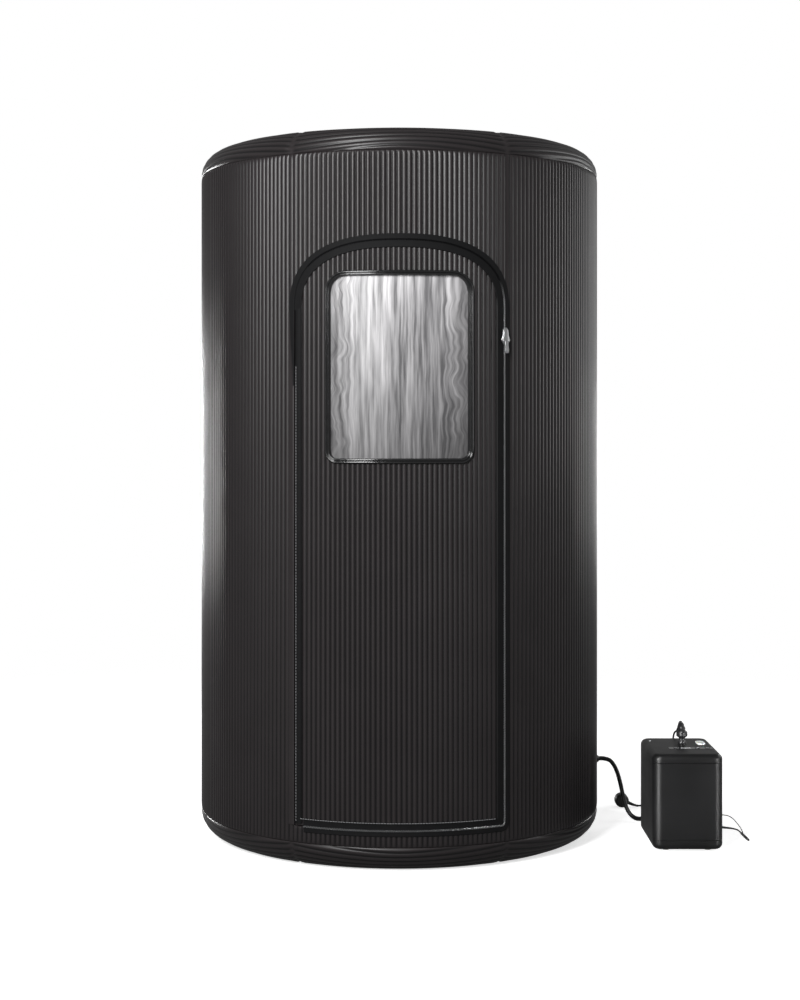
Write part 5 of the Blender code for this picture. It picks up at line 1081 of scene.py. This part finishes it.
# The tree that sets a small piece at even steps along a line, upright on the cabin's wall.
row_tree, given, out = new_tree("set_in_a_row", spacing="Float", small_piece="Object", material="Material")
line = add_node(row_tree, "GeometryNodeMeshToCurve", {"Mesh": given.outputs["Geometry"]})
spots = add_node(row_tree, "GeometryNodeResampleCurve", {"Curve": line, "Length": given.outputs["Spacing"]},
    mode="LENGTH")
shape = add_node(row_tree, "GeometryNodeObjectInfo", {"Object": given.outputs["Small Piece"]})
radial = add_node(row_tree, "ShaderNodeVectorMath", {0: add_node(row_tree, "GeometryNodeInputPosition"),
    1: (1.0, 1.0, 0.0)}, operation="MULTIPLY")
upright = add_node(row_tree, "FunctionNodeAlignRotationToVector", {"Vector": radial}, axis="Z")
headed = add_node(row_tree, "FunctionNodeAlignRotationToVector",
    {"Rotation": upright, "Vector": add_node(row_tree, "GeometryNodeInputTangent")}, axis="X", pivot_axis="Z")
row = add_node(row_tree, "GeometryNodeInstanceOnPoints", {"Points": spots, "Instance": shape.outputs["Geometry"],
    "Rotation": headed})
finish_tree(row_tree, given, out, row)


def line_on_wall(points, outward):
    """A mesh of one open line on the cabin's wall, from (arc, z) points."""
    mesh = bpy.data.meshes.new("line_on_wall")
    radius = CABIN_RADIUS + outward
    spots = [(radius * math.sin(arc / CABIN_RADIUS), -radius * math.cos(arc / CABIN_RADIUS), z)
        for arc, z in points]
    mesh.from_pydata(spots, [(k, k + 1) for k in range(len(points) - 1)], [])
    return mesh


def small_bar(length, width, height, slope):
    """A small bar with blunted corners: the shape of one tooth or one stitch, out along Z."""
    mesh = bmesh.new()
    rings = []
    blunt = 0.0003
    for z, inset in ((0.0, 0.0), (height * 0.6, 0.0), (height, slope)):
        ring = []
        for sx, sy in ((1, 1), (-1, 1), (-1, -1), (1, -1)):
            x, y = (length / 2 - inset - blunt) * sx, (width / 2 - inset - blunt) * sy
            for turn in (math.atan2(sy, sx) - 0.35, math.atan2(sy, sx) + 0.35):
                ring.append(mesh.verts.new((x + blunt * math.cos(turn), y + blunt * math.sin(turn), z)))
        rings.append(ring)
    data = bpy.data.meshes.new("small_bar")
    ring_faces(mesh, rings).to_mesh(data)
    mesh.free()
    return bpy.data.objects.new("small_bar", data)


def row_along(name, line, bar, spacing, material, body):
    """One row of a small piece along a line, as a plain mesh that rides on a body."""
    made = grow(name, line, row_tree, spacing=spacing, small_piece=bar, material=material)
    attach(made, body)
    return made


# Cast zinc teeth: bright and slightly grainy, and made dark and duller from the arch's foot upward.
cast_zinc, tree, shader = finish_named("die_cast_zinc", roughness=0.3, metallic=1.0)
where = add_node(tree, "ShaderNodeTexCoord")
grain = noise_on(tree, 700.0, 3.0)
tone = add_node(tree, "ShaderNodeMix", {0: grain, 6: paint("A3A4A6"), 7: paint("DADBDC")}, data_type="RGBA")
height = add_node(tree, "ShaderNodeSeparateXYZ", {0: where.outputs["Object"]})
dark_above_arch_foot = add_node(tree, "ShaderNodeMapRange", {"Value": height.outputs["Z"], "From Min": 1.36, "From Max": 1.43})
tone = add_node(tree, "ShaderNodeMix", {0: dark_above_arch_foot, 6: tone.outputs[2], 7: paint("161617")}, data_type="RGBA")
tree.links.new(tone.outputs[2], shader.inputs["Base Color"])
roughened(shader, dark_above_arch_foot, 0.3, 0.65)
embossed(shader, grain, 0.2, 0.0002)
tooth = small_bar(0.0019, 0.0026, 0.0013, 0.0004)
half_step = ZIP_START + TOOTH_PITCH / 2
row_along("wall_zip_teeth", line_on_wall(edge_line(0.0026, arch_share=ZIP_ARCH_SHARE, start=ZIP_START,
    closed=False), 0.0014), tooth, TOOTH_PITCH, cast_zinc, "cabin")
row_along("leaf_zip_teeth", line_on_wall(edge_line(0.0004, arch_share=ZIP_ARCH_SHARE, start=half_step,
    closed=False), 0.0014), tooth, TOOTH_PITCH, cast_zinc, "door")
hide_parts("zip_tape_wall")
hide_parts("zip_tape_door")

# Hinge side. The leaf turns on a welded vinyl strip at its left edge; a folded hem lies beside it
# on the leaf, held by one row of pale polyester stitches.


def upright_lines(profile, lift=0.0):
    """Lines up the door's left side, one for each (offset, outward) of a strip's profile."""
    heights = [DOOR_BOTTOM + lift + (DOOR_SPRING - DOOR_BOTTOM) * k / 40 for k in range(41)]
    return [([(-DOOR_HALF - offset, z) for z in heights], outward) for offset, outward in profile]


STRIP_PROFILE = ((0.0012, 0.0003), (0.0012, 0.0011), (0.006, 0.0013), (0.0175, 0.0011), (0.0184, 0.0001))
HEM_PROFILE = ((-0.0184, 0.0001), (-0.0178, 0.0014), (-0.006, 0.0013), (-0.004, 0.0009), (-0.0016, 0.001),
    (-0.0008, -0.0014))
hinge_strip = band("hinge_strip", upright_lines(STRIP_PROFILE), outer_vinyl, False)
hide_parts("hinge_tape")
band("hinge_hem", upright_lines(HEM_PROFILE, 0.004), zip_tape, False, body="door")
thread, tree, shader = finish_named("spun_polyester_thread", roughness=0.7)
twist = noise_on(tree, 1500.0, 2.0)
tinted(shader, twist, "6A6A6C", "98989A")
stitch = small_bar(0.0052, 0.0016, 0.0009, 0.0003)
hinge_line = line_on_wall([(-DOOR_HALF + 0.0036, DOOR_BOTTOM + 0.012 + 1.1 * k / 30) for k in range(31)], 0.0007)
row_along("hinge_stitches", hinge_line, stitch, 0.0072, thread, "door")
row_along("bottom_stitches", line_on_wall([(-0.246 + 0.484 * k / 60, DOOR_BOTTOM + 0.0166) for k in range(61)],
    0.0021), stitch, 0.0066, thread, "door")

# Slider and pull. A cast zinc body that runs over both rows of teeth, with two lugs that carry the
# pin of a flat tapered pull.
SLIDER_OUTLINE = ((-0.14, 0), (0.14, 0), (0.5, 0.3), (0.34, 0.55), (0.28, 0.86), (0.12, 1), (-0.12, 1),
    (-0.28, 0.86), (-0.34, 0.55), (-0.5, 0.3))


def frame_of(x_way, y_way, z_way, spot):
    """The placing whose three axes point these ways, at this spot."""
    placed = Matrix((x_way, y_way, z_way)).transposed().to_4x4()
    placed.translation = spot
    return placed


def wall_place(arc, outward, z):
    """A frame on the wall: X to the right, Y outward, Z up."""
    turn = arc / CABIN_RADIUS
    right = Vector((math.cos(turn), math.sin(turn), 0.0))
    outward_way = Vector((math.sin(turn), -math.cos(turn), 0.0))
    spot = outward_way * (CABIN_RADIUS + outward) + Vector((0.0, 0.0, z))
    return frame_of(right, outward_way, Vector((0.0, 0.0, 1.0)), spot)


def cast_plate(outline, low, high, soft, place):
    """A cast plate from an outline in X and Z, between two depths in Y, with soft edges."""
    mesh = bmesh.new()
    ring_faces(mesh, [[mesh.verts.new((x, y, z)) for x, z in outline] for y in (low, high)])
    bmesh.ops.bevel(mesh, geom=list(mesh.edges), offset=soft, segments=3, profile=0.5, affect="EDGES")
    mesh.transform(place)
    bmesh.ops.recalc_face_normals(mesh, faces=mesh.faces)
    return mesh


def merged(meshes):
    """Several bmeshes in one."""
    whole = bmesh.new()
    for mesh in meshes:
        data = bpy.data.meshes.new("part")
        mesh.to_mesh(data)
        mesh.free()
        whole.from_mesh(data)
        bpy.data.meshes.remove(data)
    return whole


PIN_HEIGHT = 0.01075
slider_place = wall_place(DOOR_HALF + 0.0015, 0.0032, 1.271)
outline = [(x * 0.024, z * 0.043) for x, z in SLIDER_OUTLINE]
raised = [(x * 0.72, 0.0215 + (z - 0.0215) * 0.72) for x, z in outline]
LUG_OUTLINE = ((-0.001, -0.0024), (0.001, -0.0024), (0.001, 0.0024), (-0.001, 0.0024))
lugs = []
for side in (-1, 1):
    lug = [(side * 0.0071 + x, PIN_HEIGHT + z) for x, z in LUG_OUTLINE]
    lugs.append(cast_plate(lug, 0.0045, 0.009, 0.0005, slider_place))
plates = [cast_plate(outline, 0.0, 0.0046, 0.0011, slider_place),
    cast_plate(raised, 0.004, 0.0056, 0.0006, slider_place)]
slider = finish_piece("zip_slider_body", merged([*plates, *lugs]), cast_zinc, merge=0)
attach(slider, "slider")
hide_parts("zip_slider")
pull_place = slider_place @ Matrix.Translation((0.0, 0.0079, PIN_HEIGHT))
pull_outline = ((-0.004, 0.0011), (0.004, 0.0011), (0.0045, -0.013), (0.0055, -0.024), (0.0052, -0.0285),
    (0.003, -0.03), (-0.003, -0.03), (-0.0052, -0.0285), (-0.0055, -0.024), (-0.0045, -0.013))
grip = [(x * 0.55, -0.0215 + (z + 0.0215) * 0.3) for x, z in pull_outline]
plates = [cast_plate(pull_outline, -0.0011, 0.0011, 0.0005, pull_place),
    cast_plate(grip, 0.0008, 0.0015, 0.0003, pull_place)]
pull = finish_piece("zip_pull_tab", merged(plates), cast_zinc, merge=0)
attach(pull, "pull")
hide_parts("zip_pull")

# Valves. The air valve is a glass-filled nylon ring welded into the wall, with a twist cap over its
# sprung pin; beside it a domed relief valve lets air out before the seams are strained.


def lathed(profile, place, sides=56):
    """A turned body from (radius, height) rows about the place's Z, closed where the radius is 0."""
    mesh = bmesh.new()
    turns = [2 * math.pi * k / sides for k in range(sides)]
    rings = []
    for radius, height in profile:
        if radius <= 0:
            rings.append([mesh.verts.new((0.0, 0.0, height))])
        else:
            rings.append([mesh.verts.new((radius * math.cos(t), radius * math.sin(t), height)) for t in turns])
    pairs = list(zip(rings, rings[1:]))
    if len(rings[0]) > 1 and len(rings[-1]) > 1:
        pairs.append((rings[-1], rings[0]))
    for low, high in pairs:
        for k in range(sides):
            ring = [low[k % len(low)], low[(k + 1) % len(low)], high[(k + 1) % len(high)], high[k % len(high)]]
            mesh.faces.new(list(dict.fromkeys(ring)))
    bmesh.ops.recalc_face_normals(mesh, faces=mesh.faces)
    mesh.transform(place)
    return mesh


def softened(profile, soft):
    """A profile with each of its corners cut by three short steps."""
    made = []
    for i, point in enumerate(profile):
        if i in (0, len(profile) - 1):
            made.append(point)
            continue
        here = Vector(point)
        back, ahead = Vector(profile[i - 1]) - here, Vector(profile[i + 1]) - here
        reach = min(soft, back.length * 0.45, ahead.length * 0.45)
        a, b = here + back.normalized() * reach, here + ahead.normalized() * reach
        for t in (0.0, 0.3, 0.7, 1.0):
            made.append(tuple(a.lerp(here, t).lerp(here.lerp(b, t), t)))
    return made


def out_of_wall(arc, z):
    """A frame on the wall with Z outward and X level."""
    turn = arc / CABIN_RADIUS
    level_way = Vector((math.cos(turn), math.sin(turn), 0.0))
    outward_way = Vector((math.sin(turn), -math.cos(turn), 0.0))
    up = outward_way.cross(level_way)
    spot = outward_way * CABIN_RADIUS + Vector((0.0, 0.0, z))
    return frame_of(level_way, up, outward_way, spot)


valve_place = out_of_wall(0.42 * AROUND, 0.3)
body_profile = softened(((0.02, 0.0043), (0.034, 0.0043), (0.034, 0.0003), (0.025, 0.0003), (0.025, -0.045),
    (0.02, -0.045), (0.02, -0.015), (0.0035, -0.015), (0.0035, -0.012), (0.02, -0.012)), 0.0008)
valve_body = finish_piece("air_valve_ring", lathed(body_profile, valve_place), plug_nylon)
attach(valve_body, "cabin")
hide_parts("valve_body")
cap_profile = softened(((0.0, -0.003), (0.0197, -0.003), (0.0197, 0.0046), (0.0338, 0.0046), (0.034, 0.008),
    (0.0315, 0.0126), (0.0, 0.0126)), 0.0012)
grip_outline = [(0.024 * math.cos(t) * (1 if abs(math.cos(t)) > 0.02 else 0), 0.0048 * math.sin(t))
    for t in (2 * math.pi * k / 28 for k in range(28))]
y_and_z_swapped = Matrix(((1, 0, 0, 0), (0, 0, 1, 0), (0, 1, 0, 0), (0, 0, 0, 1)))
grip_up = valve_place @ y_and_z_swapped
grip_bar = cast_plate(grip_outline, 0.011, 0.0196, 0.0009, grip_up)
valve_cap = finish_piece("valve_twist_cap", merged([lathed(cap_profile, valve_place), grip_bar]), plug_nylon,
    merge=0)
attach(valve_cap, "valve_cap")
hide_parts("valve_cap")
relief_place = out_of_wall(0.42 * AROUND + 0.12, 0.3)
relief_profile = softened(((0.006, 0.0123), (0.015, 0.0123), (0.0168, 0.01), (0.019, 0.0043), (0.024, 0.0043),
    (0.024, 0.0003), (0.016, 0.0003), (0.016, -0.034), (0.006, -0.034)), 0.0009)
relief = finish_piece("relief_valve_dome", lathed(relief_profile, relief_place), plug_nylon)
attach(relief, "cabin")
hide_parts("relief_valve")

# Steam port. A nylon spigot through the wall: a flange outside with a ribbed nut that grips the
# hose, and inside a slotted cup that spreads the steam.
port_place = out_of_wall(0.2778 * AROUND, 0.163)
port_profile = softened(((0.004, 0.0263), (0.0085, 0.0263), (0.0095, 0.023), (0.012, 0.0215), (0.012, 0.0043),
    (0.03, 0.0043), (0.03, 0.0003), (0.015, 0.0003), (0.015, -0.114), (0.004, -0.114)), 0.0009)
NUT_RIBS = 14
rib_outline = [(0.0112 + x, z) for x, z in ((0.0, -0.0008), (0.0016, -0.0005), (0.0016, 0.0005), (0.0, 0.0008))]
ribs = []
for k in range(NUT_RIBS):
    rib_place = port_place @ Matrix.Rotation(2 * math.pi * k / NUT_RIBS, 4, "Z") @ y_and_z_swapped
    ribs.append(cast_plate(rib_outline, 0.005, 0.0205, 0.0002, rib_place))
port = finish_piece("steam_port_spigot", merged([lathed(port_profile, port_place), *ribs]), plug_nylon, merge=0)
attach(port, "cabin")
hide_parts("steam_port")


def wear_on_nodes(material, *nodes):
    """Put a finish on solids whose own shape is right."""
    for node in nodes:
        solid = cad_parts[node]
        for slot in solid.material_slots:
            slot.material = material


# Platinum-cured silicone: a soft matt white that lets a little light in.
white_silicone, tree, shader = finish_named("moulded_white_silicone", roughness=0.42, subsurface_weight=0.15)
bloom = noise_on(tree, 120.0, 3.0)
tinted(shader, bloom, "D5D5D2", "EDEDEA")
wear_on_nodes(white_silicone, "valve_pin")
wear_on_nodes(plug_nylon, "steam_diffuser")

# Steamer housing. Three mouldings in black ABS with a fine spark-eroded grain and a satin shine on
# their rounded corners: a base tray, a tall sleeve and a top cover, held together from below.
HOUSING_MIDDLE = (0.73, -0.18)
HOUSING_HALF = (0.089, 0.127)
HOUSING_BEND = 0.024
EDGE_ROUND = 0.014
HOUSING_TOP = 0.2465
CORNER_STEPS = 10
housing_abs, tree, shader = finish_named("spark_eroded_black_abs", roughness=0.4, specular_ior_level=0.26)
grain = noise_on(tree, 850.0, 2.0)
swirl = noise_on(tree, 14.0, 4.0)
tinted(shader, swirl, "090909", "0F0F10")
roughened(shader, swirl, 0.34, 0.48)
embossed(shader, grain, 0.18, 0.0003)


def round_box_ring(half_wide, half_deep, bend, middle):
    """The outline of a box with round corners, anticlockwise from its right side."""
    ring = []
    for quarter, (sx, sy) in enumerate(((1, 1), (-1, 1), (-1, -1), (1, -1))):
        x, y = middle[0] + sx * (half_wide - bend), middle[1] + sy * (half_deep - bend)
        turns = [(quarter + k / CORNER_STEPS) * math.pi / 2 for k in range(CORNER_STEPS + 1)]
        ring += [(x + bend * math.cos(turn), y + bend * math.sin(turn)) for turn in turns]
    return ring


def moulded(levels, half, bend, middle, loop=False):
    """A moulding from (inset, z) levels of one round-cornered outline: closed, or a hollow sleeve."""
    mesh = bmesh.new()
    rings = []
    for inset, z in levels:
        outline = round_box_ring(half[0] - inset, half[1] - inset, max(bend - inset, 0.0006), middle)
        rings.append([mesh.verts.new((x, y, z)) for x, y in outline])
    return ring_faces(mesh, rings, loop)


def rounded_levels(edge, way):
    """Levels over a rounded edge, from the flat face to the upright wall."""
    turns = [math.pi / 2 * k / 8 for k in range(9)]
    return [(EDGE_ROUND * (1 - math.sin(t)), edge - way * EDGE_ROUND * (1 - math.cos(t))) for t in turns]


def carved(obj, *cutters):
    """Cut holes in a piece, and keep the result as its plain mesh."""
    for cutter in cutters:
        step = obj.modifiers.new("hole", "BOOLEAN")
        step.operation = "DIFFERENCE"
        step.solver = "EXACT"
        step.object = cutter
    plain = bpy.data.meshes.new_from_object(obj.evaluated_get(bpy.context.evaluated_depsgraph_get()))
    obj.modifiers.clear()
    obj.data = plain
    for cutter in cutters:
        bpy.data.objects.remove(cutter)


def sharp_beyond(obj, degrees):
    """Smooth the piece's faces, and keep edges sharper than this angle crisp."""
    bpy.ops.object.select_all(action="DESELECT")
    obj.select_set(True)
    bpy.context.view_layer.objects.active = obj
    bpy.ops.object.shade_smooth()
    if obj.data.has_custom_normals:
        bpy.ops.mesh.customdata_custom_splitnormals_clear()
    obj.data.set_sharp_from_angle(angle=math.radians(degrees))


HOUSING_FORM = (HOUSING_HALF, HOUSING_BEND, HOUSING_MIDDLE)
tray_levels = [*rounded_levels(0.005, -1), (0.0, 0.0284), (0.0006, 0.029)]
sleeve_levels = [(0.0025, 0.0293), (0.0006, 0.0293), (0.0, 0.0299), (0.0, 0.2236), (0.0006, 0.2242),
    (0.0025, 0.2242)]
cover_levels = [(0.0006, 0.2245), (0.0, 0.2251), *rounded_levels(HOUSING_TOP, 1)[::-1]]
base_tray = finish_piece("housing_base_tray", moulded(tray_levels, *HOUSING_FORM), housing_abs)
sleeve = finish_piece("housing_sleeve", moulded(sleeve_levels, *HOUSING_FORM, loop=True), housing_abs)
top_cover = finish_piece("housing_top_cover", moulded(cover_levels, *HOUSING_FORM), housing_abs)
OUTLET_PLACE = Matrix.Translation((0.672, -0.053, 0.036)) @ Matrix.Rotation(-math.pi / 2, 4, "X")
for obj in (base_tray, sleeve):
    bore = lathed(((0.0, -0.01), (0.0087, -0.01), (0.0087, 0.004), (0.0, 0.004)), OUTLET_PLACE, 40)
    carved(obj, finish_piece("outlet_hole", bore, housing_abs, False))
PANEL_MIDDLE = (0.75, -0.216)
FILLER_MIDDLE = (0.787, -0.144)
BUTTONS = (("power_button", 0.7119), ("time_button", 0.7679), ("heat_button", 0.7937))
pocket = finish_piece("panel_pocket", moulded([(0.0, 0.2438), (0.0, 0.25)], (0.0563, 0.0153), 0.0063, PANEL_MIDDLE),
    housing_abs, False)
filler_hole = finish_piece("filler_hole", moulded([(0.0, 0.22), (0.0, 0.26)], (0.0083, 0.0213), 0.00829,
    FILLER_MIDDLE), housing_abs, False)


def button_bores(low, material):
    """Cylinders that cut the buttons' wells down to this height."""
    profile = ((0.0, low), (0.0064, low), (0.0064, 0.26), (0.0, 0.26))
    places = [(name, Matrix.Translation((x, PANEL_MIDDLE[1], 0.0))) for name, x in BUTTONS]
    return [finish_piece(name + "_bore", lathed(profile, place, 32), material, False) for name, place in places]


carved(top_cover, pocket, filler_hole, *button_bores(0.2408, housing_abs))
for obj, node in ((base_tray, "steamer_base"), (sleeve, "steamer_shell"), (top_cover, "steamer_top_cover")):
    sharp_beyond(obj, 40)
    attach(obj, "cabin")
    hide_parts(node)

# Control strip. Gloss polycarbonate let into the top, with three push buttons, printed rings on
# them, and a small pale printed patch for the display. The marks are plain shapes.
gloss_strip, tree, shader = finish_named("gloss_smoked_polycarbonate", roughness=0.09, ior=1.58, coat_weight=0.3,
    coat_roughness=0.05)
smear = noise_on(tree, 50.0, 5.0)
tinted(shader, smear, "070708", "101012")
roughened(shader, smear, 0.05, 0.16)
strip = finish_piece("control_strip", moulded([(0.0, 0.2441), (0.0, 0.2467), (0.0004, 0.2471)], (0.056, 0.015),
    0.006, PANEL_MIDDLE), gloss_strip)
carved(strip, *button_bores(0.24, gloss_strip))
sharp_beyond(strip, 35)
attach(strip, "cabin")
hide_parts("control_panel")
pale_ink, tree, shader = finish_named("screen_printed_pale_ink", roughness=0.5)
speck = noise_on(tree, 900.0, 2.0)
tinted(shader, speck, "9EA0A2", "C4C6C8")
RING_PROFILE = ((0.0026, 0.24815), (0.0026, 0.24835), (0.0036, 0.2484), (0.0036, 0.2482))
cap_profile = softened(((0.0, 0.2433), (0.006, 0.2433), (0.006, 0.2485), (0.0048, 0.2483), (0.0, 0.2481)), 0.0004)
for name, x in BUTTONS:
    place = Matrix.Translation((x, PANEL_MIDDLE[1], 0.0))
    cap = finish_piece(name + "_cap", lathed(cap_profile, place, 40), plug_nylon)
    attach(cap, name)
    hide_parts(name)
    ring = finish_piece(name + "_ring", lathed(RING_PROFILE, place, 40), pale_ink)
    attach(ring, name)
display = finish_piece("display_window", moulded([(0.0, 0.247), (0.0, 0.2472), (0.0003, 0.24735)], (0.0125, 0.0052),
    0.0012, (0.7375, -0.216)), pale_ink)
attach(display, "cabin")
dot_profile = softened(((0.0, 0.2462), (0.0032, 0.2462), (0.0032, 0.2472), (0.0, 0.2474)), 0.0003)
vent_dot = finish_piece("vent_plug", lathed(dot_profile, Matrix.Translation((0.6607, -0.108, 0.0)), 32), pale_ink)
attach(vent_dot, "cabin")

# Filler stopper. Soft white silicone with a rolled lip, pushed into the oblong neck of the filler.
stopper_levels = [(0.0034, 0.2365), (0.003, 0.2369), (0.003, 0.2468), (0.0004, 0.2468), (0.0, 0.2473),
    (0.0, 0.2486), (0.0003, 0.2493), (0.001, 0.2497), (0.0022, 0.2498), (0.0042, 0.2494)]
stopper = finish_piece("filler_stopper_lip", moulded(stopper_levels, (0.011, 0.024), 0.0109, FILLER_MIDDLE),
    white_silicone)
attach(stopper, "filler_stopper")
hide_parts("filler_stopper")

# Mains connector. A moulded nylon elbow on the top cover: a ball collar, a ribbed body and a waist
# before its bend to the rear.
CONNECTOR_PROFILE = ((0.0, 0.01), (0.0008, 0.0104), (0.007, 0.0102), (0.0092, 0.0084), (0.011, 0.0076),
    (0.014, 0.0077), (0.0162, 0.0086), (0.018, 0.0112), (0.02, 0.0138), (0.0225, 0.0145), (0.0262, 0.0144),
    (0.027, 0.0136), (0.0278, 0.0144), (0.03, 0.0141), (0.033, 0.0122), (0.036, 0.0096), (0.038, 0.0092),
    (0.04, 0.01), (0.0425, 0.0094), (0.045, 0.0075), (0.0475, 0.0074), (0.05, 0.0079), (0.053, 0.0068),
    (0.056, 0.0056), (0.0585, 0.005), (0.06, 0.0053), (0.0615, 0.0047), (0.063, 0.005), (0.0645, 0.0043),
    (0.066, 0.0038))
connector = finish_piece("mains_elbow", turned_route([(on_connector(along), radius)
    for along, radius in CONNECTOR_PROFILE], 36), plug_nylon)
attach(connector, "cabin")
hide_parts("mains_connector")

# Steam outlet, feet and inner works. A nylon nozzle with a barb for the hose, four soft rubber
# feet, and inside a deep-drawn stainless tank with its heating ring and a green circuit board.
outlet_profile = softened(((0.004, 0.022), (0.0078, 0.022), (0.0088, 0.0185), (0.008, 0.018), (0.0085, 0.014),
    (0.0085, 0.0033), (0.013, 0.0033), (0.013, 0.0003), (0.0084, 0.0003), (0.0084, -0.0055), (0.004, -0.0055)),
    0.0006)
outlet = finish_piece("steam_outlet_nozzle", lathed(outlet_profile, OUTLET_PLACE, 48), plug_nylon)
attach(outlet, "cabin")
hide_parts("steam_outlet")
foot_rubber, tree, shader = finish_named("moulded_foot_rubber", roughness=0.7)
dust = noise_on(tree, 300.0, 3.0)
tinted(shader, dust, "121213", "252526")
FEET = (("foot_front_left", 0.677, -0.271), ("foot_front_right", 0.783, -0.271), ("foot_rear_left", 0.677, -0.089),
    ("foot_rear_right", 0.783, -0.089))
foot_profile = softened(((0.0, 0.0), (0.0094, 0.0), (0.01, 0.0012), (0.01, 0.0047), (0.0, 0.0047)), 0.0005)
for node, x, y in FEET:
    foot = finish_piece(node + "_pad", lathed(foot_profile, Matrix.Translation((x, y, 0.0)), 40), foot_rubber)
    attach(foot, "cabin")
    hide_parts(node)
drawn_steel, tree, shader = finish_named("deep_drawn_stainless", roughness=0.25, metallic=1.0)
where = add_node(tree, "ShaderNodeTexCoord")
drawn = add_node(tree, "ShaderNodeMapping", {"Vector": where.outputs["Object"], "Scale": (60.0, 60.0, 900.0)})
lines = add_node(tree, "ShaderNodeTexNoise", {"Vector": drawn, "Scale": 1.0, "Detail": 3.0})
tinted(shader, lines.outputs["Fac"], "A9ABAD", "CFD1D2")
wear_on_nodes(drawn_steel, "boiler_tank", "heating_element")
green_board, tree, shader = finish_named("solder_masked_glass_board", roughness=0.3)
where = add_node(tree, "ShaderNodeTexCoord")
tracks = add_node(tree, "ShaderNodeTexBrick", {"Vector": where.outputs["Object"], "Color1": paint("0F4A2A"),
    "Color2": paint("14603A"), "Mortar": paint("1C7A48"), "Scale": 120.0})
tree.links.new(tracks.outputs["Color"], shader.inputs["Base Color"])
wear_on_nodes(green_board, "circuit_board")
